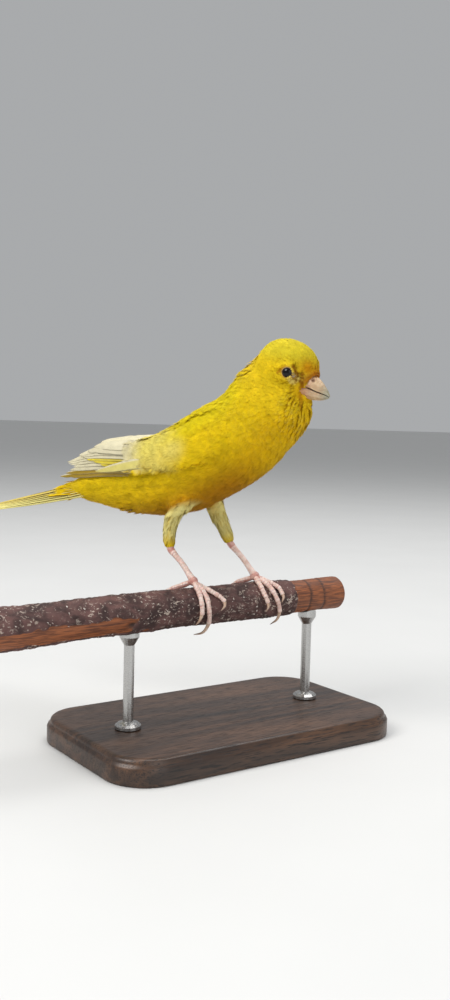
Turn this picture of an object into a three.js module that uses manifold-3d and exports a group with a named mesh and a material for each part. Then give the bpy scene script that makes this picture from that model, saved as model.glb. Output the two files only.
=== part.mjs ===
// A life-size domestic canary standing on a cut length of branch, held by a plain display stand.
// Millimetres, +Z up. The bird faces +X and its right side is towards -Y.
// The origin is the middle of the stand's underside.
import * as THREE from "three";
import { mergeVertices } from "three/addons/utils/BufferGeometryUtils.js";
import Module from "manifold-3d";

const wasm = await Module();
wasm.setup();

// Clearance between pieces that touch
const GAP = 0.3;

// Driving sizes of the bird
const TAIL_LENGTH = 47; // of the longest feather past its root in the rump
const EYE_RADIUS = 2.15;
const SHANK_RADIUS = 0.92;
const TOE_RADIUS = 0.92;
const CLAW_RADIUS = 0.6;

// Driving sizes of the branch and the stand
const PERCH_RADIUS = 6.2;
const PERCH_HEIGHT = 45; // of the branch's middle above the floor
const PERCH_ANGLE = 63; // from the bird's heading, in degrees
const PERCH_ENDS = [-84, 49]; // along the branch from above the origin
const PERCH_SAG = 1.5; // of its near end
const FOOT_AT = { right: -12.5, left: 12.5 }; // along the branch
const ROD_AT = [-36, 36]; // along the branch
const ROD_RADIUS = 1.7;
const BASE = { length: 108, width: 64, height: 8, corner: 14, bevel: 1 };

const rad = THREE.MathUtils.degToRad;
const lerp = THREE.MathUtils.lerp;
const point = (x, y, z) => new THREE.Vector3(x, y, z);
const UP = point(0, 0, 1);

// Ways along the branch, and level across it towards the bird's front
const ALONG = point(Math.cos(rad(PERCH_ANGLE)), Math.sin(rad(PERCH_ANGLE)), 0);
const FORWARDS = point(Math.sin(rad(PERCH_ANGLE)), -Math.cos(rad(PERCH_ANGLE)), 0);

// A solid made from a closed geometry. Vertices at one place are merged and faces without area dropped.
function solidOf(geometry, matrix = new THREE.Matrix4()) {
  const bare = new THREE.BufferGeometry();
  bare.setAttribute("position", geometry.getAttribute("position").clone());
  if (geometry.index) bare.setIndex(geometry.index.clone());
  const merged = mergeVertices(bare.applyMatrix4(matrix), 1e-4);
  const corners = merged.index.array;
  const kept = [];
  for (let i = 0; i < corners.length; i += 3) {
    const [a, b, c] = corners.slice(i, i + 3);
    if (a !== b && b !== c && c !== a) kept.push(a, b, c);
  }
  const vertProperties = merged.attributes.position.array;
  return new wasm.Manifold(
    new wasm.Mesh({ numProp: 3, vertProperties, triVerts: new Uint32Array(kept) }),
  );
}

// The largest closed surface of a solid, which drops loose scraps.
const largestOf = (solid) =>
  solid.decompose().reduce((most, piece) => (piece.volume() > most.volume() ? piece : most));

const unionOf = (solids) => solids.reduce((all, one) => all.add(one));

// A closed solid through rings of points, each end closed by a fan to its middle.
function skin(rings) {
  const sides = rings[0].length;
  const points = rings.flat();
  const middle = (ring) => ring.reduce((sum, p) => sum.add(p), point(0, 0, 0)).divideScalar(sides);
  points.push(middle(rings[0]), middle(rings.at(-1)));
  const faces = [];
  for (let side = 0; side < sides; side += 1) {
    const next = (side + 1) % sides;
    const last = (rings.length - 1) * sides;
    faces.push(next, side, points.length - 2, last + side, last + next, points.length - 1);
    for (let ring = 0; ring < last; ring += sides) {
      faces.push(ring + side, ring + next, ring + sides + next);
      faces.push(ring + side, ring + sides + next, ring + sides + side);
    }
  }
  let volume = 0;
  for (let i = 0; i < faces.length; i += 3) {
    const [a, b, c] = faces.slice(i, i + 3).map((corner) => points[corner]);
    volume += a.dot(b.clone().cross(c));
  }
  if (volume < 0) faces.reverse();
  return solidOf(new THREE.BufferGeometry().setFromPoints(points).setIndex(faces));
}

// The half space that lies past a plane, as a box of ample size.
function beyond(origin, normal, size = 400) {
  const turn = new THREE.Quaternion().setFromUnitVectors(UP, normal.clone().normalize());
  const centre = origin.clone().addScaledVector(normal.clone().normalize(), size / 2);
  const matrix = new THREE.Matrix4().compose(centre, turn, point(1, 1, 1));
  return solidOf(new THREE.BoxGeometry(size, size, size), matrix);
}

// A ring of points at even angles.
const around = (sides, place) =>
  Array.from({ length: sides }, (_, side) => place((2 * Math.PI * side) / sides));

const evenShares = (steps, from = 0, to = 1) =>
  Array.from({ length: steps + 1 }, (_, step) => lerp(from, to, step / steps));

// A round limb along a curve that crosses the branch, with a ring at each of the given shares of its length.
// radius is a function of that share.
function limb(curve, radius, shares, { sides = 8, grow = 0 } = {}) {
  const rings = shares.map((share) => {
    const centre = curve.getPointAt(share);
    const ahead = curve.getTangentAt(share);
    const side = ahead.clone().cross(ALONG).normalize();
    const top = side.clone().cross(ahead);
    const reach = radius(share) + grow;
    return around(sides, (angle) =>
      centre
        .clone()
        .addScaledVector(side, reach * Math.cos(angle))
        .addScaledVector(top, reach * Math.sin(angle)),
    );
  });
  return skin(rings);
}

// A flat feather. Each station has its middle, the directions across and out of the vane, and half its width.
function feather(stations, thick = 0.5) {
  return skin(
    stations.map(({ middle, across, out, half }) =>
      [
        [1, 1],
        [-1, 1],
        [-1, -1],
        [1, -1],
      ].map(([side, face]) =>
        middle
          .clone()
          .addScaledVector(across, side * half)
          .addScaledVector(out, (face * thick) / 2),
      ),
    ),
  );
}

// Half the width of a vane, as a share of its greatest: broad, then drawn in to a rounded tip.
const vaneShape = (share) => Math.min(1, 0.7 + 2 * share) * Math.sqrt(Math.max(0.012, 1 - share ** 3.2));

// The body from the root of the tail to inside the head, as pairs of points on the back and the belly with the
// width between the flanks.
const BODY_STATIONS = [
  { back: [-78, 78.4], belly: [-77.5, 76.9], width: 3.5 },
  { back: [-69, 81.6], belly: [-68, 76.9], width: 6.5 },
  { back: [-60.5, 84.2], belly: [-59.5, 77.2], width: 9.5 },
  { back: [-52.5, 87], belly: [-51, 76], width: 13 },
  { back: [-44, 91], belly: [-42, 74], width: 16.5 },
  { back: [-35.5, 95.6], belly: [-32.5, 72.6], width: 20.5 },
  { back: [-26.5, 100.6], belly: [-21.5, 72.9], width: 24.5 },
  { back: [-17, 106.2], belly: [-9.5, 75.8], width: 27.5 },
  { back: [-8.2, 111.2], belly: [2.8, 81.6], width: 29 },
  { back: [-1.9, 114.4], belly: [13.2, 88.2], width: 27 },
  { back: [1.9, 118.6], belly: [21, 95.6], width: 24 },
  { back: [4.6, 122.4], belly: [27.2, 102.8], width: 20.5 },
  { back: [8.8, 126], belly: [30.2, 109], width: 16.5 },
  { back: [14, 127.5], belly: [29.2, 114], width: 11 },
];
// An oval ring across the middle plane between a point above, whose y is the half width, and one below.
function oval(above, below, grow, sides) {
  const middle = point((above.x + below.x) / 2, 0, (above.z + below.z) / 2);
  const rise = point(above.x, 0, above.z).sub(middle);
  rise.setLength(rise.length() + grow);
  return around(sides, (angle) => {
    const at = middle.clone().addScaledVector(rise, Math.cos(angle));
    at.y = (above.y + grow) * Math.sin(angle);
    return at;
  });
}

// A solid of such ovals between a curve above and a curve below.
function between(above, below, steps, sides, grow, matrix = new THREE.Matrix4()) {
  const upper = new THREE.CatmullRomCurve3(above);
  const lower = new THREE.CatmullRomCurve3(below);
  const rings = evenShares(steps).map((share) =>
    oval(upper.getPoint(share), lower.getPoint(share), grow, sides).map((p) => p.applyMatrix4(matrix)),
  );
  return skin(rings);
}

const BODY_RINGS = 24;
const BODY_SIDES = 22;

// The whole body without head, wings, legs or tail.
function trunk(grow = 0) {
  const backs = BODY_STATIONS.map(({ back, width }) => point(back[0], width / 2, back[1]));
  const bellies = BODY_STATIONS.map(({ belly }) => point(belly[0], 0, belly[1]));
  return between(backs, bellies, BODY_RINGS, BODY_SIDES, grow);
}

// The head, in its own frame: +X towards the face, +Z towards the crown, turned a little to the bird's right.
const HEAD = { back: 11.6, front: 12.1, crown: 10.3, chin: 9.8, cheek: 8.8 };
const HEAD_CENTRE = point(20.6, -0.6, 122.2);
const HEAD_TURN = { yaw: -6, pitch: 12 };
const HEAD_FRAME = new THREE.Matrix4().compose(
  HEAD_CENTRE,
  new THREE.Quaternion().setFromEuler(
    new THREE.Euler(0, rad(HEAD_TURN.pitch), rad(HEAD_TURN.yaw), "ZYX"),
  ),
  point(1, 1, 1),
);
const FACE_TAPER = 0.16;
const inHead = (x, y, z) => point(x, y, z).applyMatrix4(HEAD_FRAME);

// A point on the head's surface: turn runs from the nape to the face, round runs about that axis from the crown.
function onHead(turn, round) {
  const along = -Math.cos(turn);
  const face = Math.max(0, along);
  const taper = 1 - FACE_TAPER * face * face;
  const rise = Math.cos(round);
  return point(
    along * (along < 0 ? HEAD.back : HEAD.front),
    HEAD.cheek * taper * Math.sin(turn) * Math.sin(round),
    (rise > 0 ? HEAD.crown : HEAD.chin) * Math.sin(turn) * rise,
  );
}

function skull() {
  const rings = evenShares(14, 0.1, Math.PI - 0.1).map((turn) =>
    around(20, (angle) => onHead(turn, angle).applyMatrix4(HEAD_FRAME)),
  );
  return skin(rings);
}

const EYE_AHEAD = 5;
const LID_RADIUS = 0.42;

// The middle of an eyeball and the way it looks, in the head's frame.
function eyeAt(side) {
  const turn = Math.acos(-EYE_AHEAD / HEAD.front);
  const surface = onHead(turn, (side * Math.PI) / 2);
  const look = point(0.3, side, 0.05).normalize();
  return { middle: surface.addScaledVector(look, 0.45 - EYE_RADIUS), look };
}

function ball(centre, radius, segments = 14) {
  const matrix = new THREE.Matrix4().makeTranslation(centre.x, centre.y, centre.z);
  return solidOf(new THREE.SphereGeometry(radius, segments, segments - 4), matrix);
}

// The lid: a low ring round the opening of the eye.
function lid(side) {
  const { middle, look } = eyeAt(side);
  const opening = EYE_RADIUS * 0.86;
  const centre = middle.clone().addScaledVector(look, EYE_RADIUS * 0.62);
  const turn = new THREE.Quaternion().setFromUnitVectors(UP, look);
  const matrix = new THREE.Matrix4().compose(centre, turn, point(1, 1, 1)).premultiply(HEAD_FRAME);
  return solidOf(new THREE.TorusGeometry(opening, LID_RADIUS, 5, 16), matrix);
}

// The bill in the head's frame: stations of the ridge, the keel and the width.
const BILL_STATIONS = [
  { ridge: [7.5, 1.4], keel: [7.0, -7.2], width: 7.0 },
  { ridge: [11.0, 0.6], keel: [10.2, -7.1], width: 6.6 },
  { ridge: [13.1, -0.5], keel: [12.2, -7.0], width: 5.6 },
  { ridge: [14.9, -1.9], keel: [14.2, -6.7], width: 4.0 },
  { ridge: [16.5, -3.3], keel: [16.1, -6.0], width: 2.1 },
  { ridge: [17.5, -4.7], keel: [17.4, -5.2], width: 0.5 },
];
const MOUTH_LINE = [
  [5, -4.6],
  [8.4, -3.9],
  [9.9, -3.5],
  [11.6, -3.65],
  [13.4, -4.1],
  [16, -4.5],
  [18.4, -5.3],
];
const NOSTRIL = { ahead: 11.7, side: 2.3, height: -0.9, radius: 0.5 };

function bill(grow = 0) {
  const ridges = BILL_STATIONS.map(({ ridge, width }) => point(ridge[0], width / 2, ridge[1]));
  const keels = BILL_STATIONS.map(({ keel }) => point(keel[0], 0, keel[1]));
  return between(ridges, keels, 8, 14, grow, HEAD_FRAME);
}

// The thin cut that parts the bill, an extruded strip along the line of the mouth.
function mouthCut() {
  const outline = new THREE.Shape([
    ...MOUTH_LINE.map(([x, z]) => new THREE.Vector2(x, z + GAP / 2)),
    ...MOUTH_LINE.toReversed().map(([x, z]) => new THREE.Vector2(x, z - GAP / 2)),
  ]);
  const strip = new THREE.ExtrudeGeometry(outline, { depth: 14, bevelEnabled: false });
  const stand = new THREE.Matrix4().makeRotationX(Math.PI / 2).setPosition(0, 7, 0);
  return solidOf(strip, stand.premultiply(HEAD_FRAME));
}

// The folded right wing lies on a curved panel between its upper and its lower edge, from the bend to the tips.
const WING_UPPER = [
  [9, -11.5, 107.5],
  [-1, -11.6, 108.4],
  [-12, -10.6, 104.8],
  [-24, -8.8, 101],
  [-36, -6.8, 98.8],
  [-47, -5.2, 97],
  [-58, -4.2, 92.6],
  [-66, -3.6, 88.6],
];
const WING_LOWER = [
  [13, -13.2, 98],
  [3, -16, 91.6],
  [-9, -16.6, 88.4],
  [-21, -15.2, 87.8],
  [-33, -12.8, 87.8],
  [-45, -10.2, 86.8],
  [-56, -8, 85.2],
  [-66, -6.2, 83.6],
];
const WING_BULGE = 2.4;
const upperEdge = new THREE.CatmullRomCurve3(WING_UPPER.map((p) => point(...p)));
const lowerEdge = new THREE.CatmullRomCurve3(WING_LOWER.map((p) => point(...p)));

// A place on the wing's panel, with the directions down across it and out of it.
function onWing(along, down, out = 0) {
  const place = (a, d) => {
    const upper = upperEdge.getPoint(a);
    const lower = lowerEdge.getPoint(a);
    const backwards = upperEdge.getPoint(Math.min(1, a + 0.02)).sub(upperEdge.getPoint(Math.max(0, a - 0.02)));
    const outwards = lower.clone().sub(upper).cross(backwards).normalize();
    if (outwards.y > 0) outwards.negate();
    const bulge = WING_BULGE * Math.sin(Math.PI * Math.min(1, Math.max(0, d))) * (1 - 0.6 * a);
    return upper.lerp(lower, d).addScaledVector(outwards, bulge);
  };
  const a = Math.min(0.99, Math.max(0.01, along));
  const middle = place(a, down);
  const across = place(a, down + 0.02).sub(place(a, down - 0.02)).normalize();
  const backwards = place(a + 0.01, down).sub(place(a - 0.01, down)).normalize();
  const outwards = across.clone().cross(backwards).normalize();
  if (outwards.y > 0) outwards.negate();
  return { middle: middle.addScaledVector(outwards, out), across, out: outwards };
}

// A vane from root to tip on the wing, both given as [along, down].
function wingVane({ root, tip, width, out, steps = 5 }) {
  const stations = evenShares(steps).map((step) => {
    const share = 1 - (1 - step) ** 1.25;
    const place = onWing(lerp(root[0], tip[0], share), lerp(root[1], tip[1], share), out);
    return { ...place, half: (width / 2) * vaneShape(share) };
  });
  return feather(stations);
}

// The tiers of the wing. Each feather's root and tip run evenly from the first to the last pair of places, and
// each lies a step further in than the one before.
const WING_TIERS = [
  { name: "primaries", count: 5, roots: [[0.42, 0.6], [0.36, 0.88]], tips: [[0.92, 0.16], [0.99, 0.8]], width: 4.4, out: -1, step: -0.3 },
  { name: "secondaries", count: 4, roots: [[0.4, 0.36], [0.36, 0.74]], tips: [[0.81, 0.24], [0.72, 0.72]], width: 5.2, out: -0.1, step: -0.3 },
  { name: "tertials", count: 2, roots: [[0.36, 0.26], [0.38, 0.38]], tips: [[0.73, 0.12], [0.77, 0.26]], width: 5.6, out: 0.45, step: -0.34 },
  { name: "greater coverts", count: 6, roots: [[0.22, 0.18], [0.2, 0.86]], tips: [[0.47, 0.2], [0.43, 0.86]], width: 4, out: 0.45, step: 0, steps: 4 },
  { name: "median coverts", count: 4, roots: [[0.1, 0.24], [0.1, 0.8]], tips: [[0.27, 0.24], [0.26, 0.82]], width: 4.6, out: 0.7, step: 0, steps: 4 },
];

function wingTier({ count, roots, tips, width, out, step, steps }) {
  return Array.from({ length: count }, (_, index) => {
    const share = index / (count - 1);
    const among = ([first, last]) => [lerp(first[0], last[0], share), lerp(first[1], last[1], share)];
    return wingVane({ root: among(roots), tip: among(tips), width, out: out + step * index, steps });
  });
}

// The fleshy part of the folded wing, from its bend to where the long feathers leave it.
const WING_CORE_LENGTH = 0.5;

function wingCore() {
  const rings = evenShares(7).map((share) => {
    const full = Math.sqrt(Math.max(0.03, 1 - (2 * share - 1) ** 4));
    return around(12, (angle) => {
      const down = 0.5 + 0.46 * full * Math.cos(angle);
      return onWing(WING_CORE_LENGTH * share, down, -1.7 + 2.1 * full * Math.sin(angle)).middle;
    });
  });
  return skin(rings);
}

function wing(body) {
  const vanes = WING_TIERS.flatMap(wingTier);
  return largestOf(unionOf([wingCore(), ...vanes]).subtract(body));
}

// The tail: feathers in pairs, from the middle one on top to the outer one below. Each lies between the line of
// the top pair and the line of the lowest. spread is how far from the middle its root and its tip lie.
const TAIL_ROOT_X = -57;
const TAIL_TOP = { root: 82.8, slope: 14 };
const TAIL_UNDER = { root: 78.4, slope: 10.6 };
const TAIL_WIDTH = 5;
const TAIL_PAIRS = [
  { length: 0.95, spread: [0.7, 0.9] },
  { length: 0.965, spread: [1.2, 1.9] },
  { length: 0.985, spread: [1.7, 2.9] },
  { length: 1, spread: [2.1, 3.9] },
  { length: 1, spread: [2.5, 4.9] },
  { length: 0.98, spread: [2.8, 5.6] },
];

function tailFeather(side, index) {
  const { length, spread } = TAIL_PAIRS[index];
  const level = (index + (side > 0 ? 0 : 0.5)) / TAIL_PAIRS.length;
  const slope = rad(lerp(TAIL_TOP.slope, TAIL_UNDER.slope, level));
  const rootZ = lerp(TAIL_TOP.root, TAIL_UNDER.root, level);
  const tilt = rad(8 + 16 * level) * side;
  const across = point(0, Math.cos(tilt), -Math.sin(tilt));
  const backwards = point(-Math.cos(slope), 0, -Math.sin(slope));
  const sunk = -5; // of the root behind the middle of the rump
  const stations = Array.from({ length: 7 }, (_, step) => {
    const share = 1 - (1 - step / 6) ** 1.25;
    const run = lerp(sunk, TAIL_LENGTH * length, share);
    const middle = point(TAIL_ROOT_X, side * lerp(...spread, share), rootZ).addScaledVector(backwards, run);
    return { middle, across, out: across.clone().cross(backwards), half: (TAIL_WIDTH / 2) * vaneShape(share) };
  });
  return feather(stations);
}

function tail(body) {
  const behind = beyond(point(TAIL_ROOT_X - GAP, 0, 0), point(-1, 0, 0));
  const vanes = [-1, 1].flatMap((side) => TAIL_PAIRS.map((_, index) => tailFeather(side, index)));
  return largestOf(unionOf([body, ...vanes]).intersect(behind));
}

// The branch
// How much lower the branch's middle line lies towards its near end
const sag = (along) => PERCH_SAG * (Math.min(0, along + 10) / (PERCH_ENDS[0] + 10)) ** 2;

// A point about the branch's middle line: angle runs from the top forwards and down.
function aboutPerch(along, angle, reach) {
  return point(0, 0, PERCH_HEIGHT - sag(along))
    .addScaledVector(ALONG, along)
    .addScaledVector(FORWARDS, reach * Math.sin(angle))
    .addScaledVector(UP, reach * Math.cos(angle));
}

const BARK_END = 27; // bare wood past this point
const BARK_THICK = 0.5;
const END_BEVEL = 0.7;

function perch(grow = 0) {
  const [first, last] = PERCH_ENDS;
  const inner = [-70, -58, -46, -34, -22, -10, 0, 10, 20];
  const places = [first, first + END_BEVEL, ...inner, BARK_END - 0.4, BARK_END + 0.4, last - END_BEVEL, last];
  const rings = places.map((along) => {
    const bevel = along === first || along === last ? END_BEVEL : 0;
    const bare = along > BARK_END ? BARK_THICK : 0;
    const swell = 0.12 * Math.sin(along / 7) - 0.005 * Math.min(0, along + 22);
    return around(16, (angle) => {
      const knots = 0.1 * Math.sin(3 * angle + along / 5);
      return aboutPerch(along, angle, PERCH_RADIUS + grow - bevel - bare + swell + knots);
    });
  });
  return skin(rings);
}

// The toes, from the heel over the branch. Each point gives how far along the branch from the heel it is, its
// angle from the branch's top, and how far the toe stands off there. The claw takes the last two.
const TOES = {
  right: {
    hallux: [[-1.5, -14, 0.4], [-4, -30, 0], [-6.9, -52, 0], [-8.2, -76, 0], [-8.8, -92, 0.5], [-9, -108, 1.6]],
    inner: [[0.8, 16, 0.4], [3.6, 38, 0], [6.6, 60, 0], [7.7, 72, 0.1], [7.4, 84, 0.6], [6.1, 95, 0.5]],
    middle: [[0.5, 22, 0.4], [1.3, 58, 0], [1.6, 90, 0], [2.4, 128, 0.5], [1.2, 150, 1.9], [-0.4, 170, 2]],
    outer: [[-0.5, 18, 0.4], [-0.9, 50, 0], [-1, 76, 0], [-1, 100, 0], [-1.8, 114, 0.6], [-3, 126, 1]],
  },
  left: {
    hallux: [[-1.2, -10, 0.4], [-4, -27, 0], [-5.4, -52, 0], [-6.2, -76, 0], [-6.7, -92, 0.5], [-7, -108, 1.6]],
    inner: [[-0.6, 18, 0.4], [-0.8, 44, 0], [-0.5, 66, 0], [0.4, 86, 0], [0.3, 98, 0.6], [-0.6, 108, 0.9]],
    middle: [[1, 16, 0.4], [2.6, 42, 0], [4.2, 78, 0], [6, 116, 0.1], [5.6, 136, 1.2], [4.4, 156, 1.7]],
    outer: [[2, 14, 0.4], [4.4, 32, 0], [6.3, 50, 0], [6.9, 68, 0], [6.7, 78, 0.6], [5.8, 90, 0.7]],
  },
};
const HEEL_RISE = 2.2;
const HEEL_RADIUS = 1.6;
const heel = (side) => aboutPerch(FOOT_AT[side], 0, PERCH_RADIUS + HEEL_RISE);

// The middle line of a toe with its claw, and the share of it that is toe.
function toeLine(side, places) {
  const points = places.map(([along, angle, off]) =>
    aboutPerch(FOOT_AT[side] + along, rad(angle), PERCH_RADIUS + TOE_RADIUS + off),
  );
  const curve = new THREE.CatmullRomCurve3([heel(side), ...points], false, "centripetal");
  const toe = new THREE.CatmullRomCurve3([heel(side), ...points.slice(0, -2)], false, "centripetal");
  return { curve, length: curve.getLength(), ends: toe.getLength() / curve.getLength() };
}

// A toe narrows towards its claw and swells at each of its pads.
const TOE_PADS = 4;
const toeRadius = (ends) => (share) => {
  const along = share / ends;
  return TOE_RADIUS * (1 - 0.22 * along) * (1 + 0.07 * Math.cos(2 * Math.PI * TOE_PADS * along));
};

function foot(side, grow = 0) {
  const toes = Object.values(TOES[side]).map((places) => {
    const { curve, ends } = toeLine(side, places);
    return limb(curve, toeRadius(ends), evenShares(10, 0, ends), { sides: 7, grow });
  });
  return unionOf([ball(heel(side), HEEL_RADIUS + grow, 10), ...toes]);
}

function claw(side, places) {
  const { curve, ends, length } = toeLine(side, places);
  const from = ends + GAP / length;
  const radius = (share) => lerp(CLAW_RADIUS, 0.12, ((share - from) / (1 - from)) ** 1.3);
  return limb(curve, radius, evenShares(6, from), { sides: 6 });
}

// The legs: points from inside the body down to the ankle, then the shank to the heel.
const LEGS = {
  right: [[-5.5, -6, 85], [-12.2, -8.6, 78.5], [-15.3, -9.5, 72], [-16.1, -9.8, 67], [-15.3, -10.1, 63.4]],
  left: [[-10, 6, 84], [-9, 8.2, 77.5], [-6.6, 8.7, 71.5], [-4.6, 8.9, 67.8], [-3.2, 9.2, 64.3]],
};
const SCUTES = 7;

// The shank with its scutes, as steps that each overhang the next.
function shank(side) {
  const ankle = point(...LEGS[side].at(-1));
  const middle = ankle.clone().lerp(heel(side), 0.5).add(point(0.25, 0, 0.25));
  const curve = new THREE.CatmullRomCurve3([ankle, middle, heel(side)]);
  const radius = (share) => {
    const joints = 0.3 * Math.exp(-((share / 0.12) ** 2)) + 0.3 * Math.exp(-(((1 - share) / 0.14) ** 2));
    return SHANK_RADIUS * (1 + joints) * (1.05 - 0.1 * ((share * SCUTES) % 1));
  };
  const step = 0.012;
  const shares = evenShares(SCUTES).flatMap((share) => [share - step, share + step]).slice(1, -1);
  return limb(curve, radius, shares, { sides: 9 });
}

// The feathered thigh, whose cuff narrows at the ankle.
function thigh(side, grow = 0) {
  const curve = new THREE.CatmullRomCurve3(LEGS[side].map((p) => point(...p)));
  const radius = (share) => 2.2 + 1.9 * (1 - share) ** 1.3 - 0.9 * Math.max(0, (share - 0.8) / 0.2) ** 1.5;
  return limb(curve, radius, evenShares(9), { sides: 12, grow });
}

// The stand
function standBase() {
  const { length, width, height, corner, bevel } = BASE;
  const [x, y] = [length / 2 - bevel, width / 2 - bevel];
  const r = corner - bevel;
  const outline = new THREE.Shape();
  outline.moveTo(-x + r, -y);
  outline.lineTo(x - r, -y).absarc(x - r, -y + r, r, -Math.PI / 2, 0);
  outline.lineTo(x, y - r).absarc(x - r, y - r, r, 0, Math.PI / 2);
  outline.lineTo(-x + r, y).absarc(-x + r, y - r, r, Math.PI / 2, Math.PI);
  outline.lineTo(-x, -y + r).absarc(-x + r, -y + r, r, Math.PI, 1.5 * Math.PI);
  const block = new THREE.ExtrudeGeometry(outline, {
    depth: height - 2 * bevel,
    bevelSize: bevel,
    bevelThickness: bevel,
    bevelSegments: 1,
    curveSegments: 6,
  });
  const turn = new THREE.Matrix4().makeRotationZ(rad(PERCH_ANGLE)).setPosition(0, 0, bevel);
  return solidOf(block, turn);
}

// A rod with a round foot, and a cradle cut to the branch.
function standRod(along) {
  const from = BASE.height + GAP;
  const top = PERCH_HEIGHT - PERCH_RADIUS / 2;
  const profile = [
    [0, from],
    [4.2, from],
    [4.2, from + 0.9],
    [3.4, from + 1.6],
    [ROD_RADIUS, from + 2.2],
    [ROD_RADIUS, top - 7],
    [3.2, top - 4.4],
    [3.2, top],
    [0, top],
  ].map(([radius, height]) => new THREE.Vector2(radius, height));
  const stand = new THREE.Matrix4().makeRotationX(Math.PI / 2).setPosition(ALONG.x * along, ALONG.y * along, 0);
  return largestOf(solidOf(new THREE.LatheGeometry(profile, 16), stand).subtract(perch(GAP)));
}

// Colours and finishes
const FINISHES = {
  yellow: { color: 0xe6c313, roughness: 0.85 },
  pale: { color: 0xe8ddb0, roughness: 0.8 },
  horn: { color: 0xdcb9a4, roughness: 0.45 },
  skin: { color: 0xd9a795, roughness: 0.6 },
  claw: { color: 0xc9b3a2, roughness: 0.4 },
  eye: { color: 0x0b0807, roughness: 0.08 },
  bark: { color: 0x5c4036, roughness: 0.9 },
  base: { color: 0x4a3427, roughness: 0.5 },
  steel: { color: 0xb8b8b8, roughness: 0.3, metalness: 1 },
};
const materials = Object.fromEntries(
  Object.entries(FINISHES).map(([name, finish]) => [name, new THREE.MeshStandardMaterial(finish)]),
);

const canary = new THREE.Group();

function add(name, finish, solid) {
  const { vertProperties, triVerts } = solid.getMesh();
  const geometry = new THREE.BufferGeometry();
  geometry.setAttribute("position", new THREE.BufferAttribute(new Float32Array(vertProperties), 3));
  geometry.setIndex(new THREE.BufferAttribute(new Uint32Array(triVerts), 1));
  geometry.computeVertexNormals();
  const mesh = new THREE.Mesh(geometry, materials[finish]);
  mesh.name = name;
  canary.add(mesh);
  return mesh;
}

// Body, neck and head are modelled whole and parted by thin cuts.
const NECK_CUT = { at: point(9, 0, 106.5), normal: point(0.69, 0, 0.72) };
const HEAD_CUT = { at: point(16.5, 0, 118), normal: point(0.585, 0, 0.811) };

const body = trunk();
const bodyWithGap = trunk(GAP);
const past = ({ at, normal }, shift) =>
  beyond(at.clone().addScaledVector(normal.clone().normalize(), shift), normal);
const whole = body.add(skull());
const rump = beyond(point(TAIL_ROOT_X, 0, 0), point(-1, 0, 0));
add("torso", "yellow", largestOf(body.subtract(past(NECK_CUT, -GAP / 2)).subtract(rump)));
const aboveShoulders = whole.intersect(past(NECK_CUT, GAP / 2));
add("neck", "yellow", largestOf(aboveShoulders.subtract(past(HEAD_CUT, -GAP / 2))));

const eyes = [-1, 1].map((side) => eyeAt(side).middle.applyMatrix4(HEAD_FRAME));
const sockets = eyes.map((eye) => ball(eye, EYE_RADIUS + GAP, 14));
const lids = [-1, 1].map(lid);
const head = unionOf([aboveShoulders.intersect(past(HEAD_CUT, GAP / 2)), ...lids]);
add("head", "yellow", largestOf(head.subtract(unionOf([...sockets, bill(GAP)]))));
eyes.forEach((eye, index) => add(index ? "eye_left" : "eye_right", "eye", ball(eye, EYE_RADIUS, 14)));

const nostrils = [-1, 1].map((side) =>
  ball(inHead(NOSTRIL.ahead, side * NOSTRIL.side, NOSTRIL.height), NOSTRIL.radius, 8),
);
const bills = bill().subtract(mouthCut()).decompose().sort((a, b) => b.volume() - a.volume());
const heightOf = (solid) => solid.boundingBox().max[2];
const [upperBill, lowerBill] = bills.slice(0, 2).sort((a, b) => heightOf(b) - heightOf(a));
add("bill_upper", "horn", largestOf(upperBill.subtract(unionOf(nostrils))));
add("bill_lower", "horn", lowerBill);

const folded = wing(bodyWithGap);
add("wing_right", "pale", folded);
add("wing_left", "pale", folded.mirror([0, 1, 0]));
add("tail", "pale", tail(body));

const perchWithGap = perch(GAP);
for (const side of ["right", "left"]) {
  add(`thigh_${side}`, "yellow", largestOf(thigh(side).subtract(bodyWithGap)));
  const shankEnd = thigh(side, GAP);
  add(`tarsus_${side}`, "skin", largestOf(shank(side).subtract(foot(side, GAP)).subtract(shankEnd)));
  add(`foot_${side}`, "skin", largestOf(foot(side).subtract(perchWithGap)));
  for (const [name, places] of Object.entries(TOES[side])) {
    add(`claw_${side}_${name}`, "claw", claw(side, places));
  }
}

add("perch", "bark", perch());
add("stand_base", "base", standBase());
ROD_AT.forEach((along, index) => add(index ? "stand_rod_far" : "stand_rod_near", "steel", standRod(along)));

export default canary;
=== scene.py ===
"""A yellow canary, life size, standing on a cut length of branch above a plain display stand."""

import logging
import math
from dataclasses import dataclass
from enum import Enum

import bmesh
import bpy
import numpy as np
from bpy.types import Material, Mesh, Node, NodeSocket, Object
from mathutils import Matrix, Vector, noise
from mathutils.bvhtree import BVHTree
from mathutils.kdtree import KDTree


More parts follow.
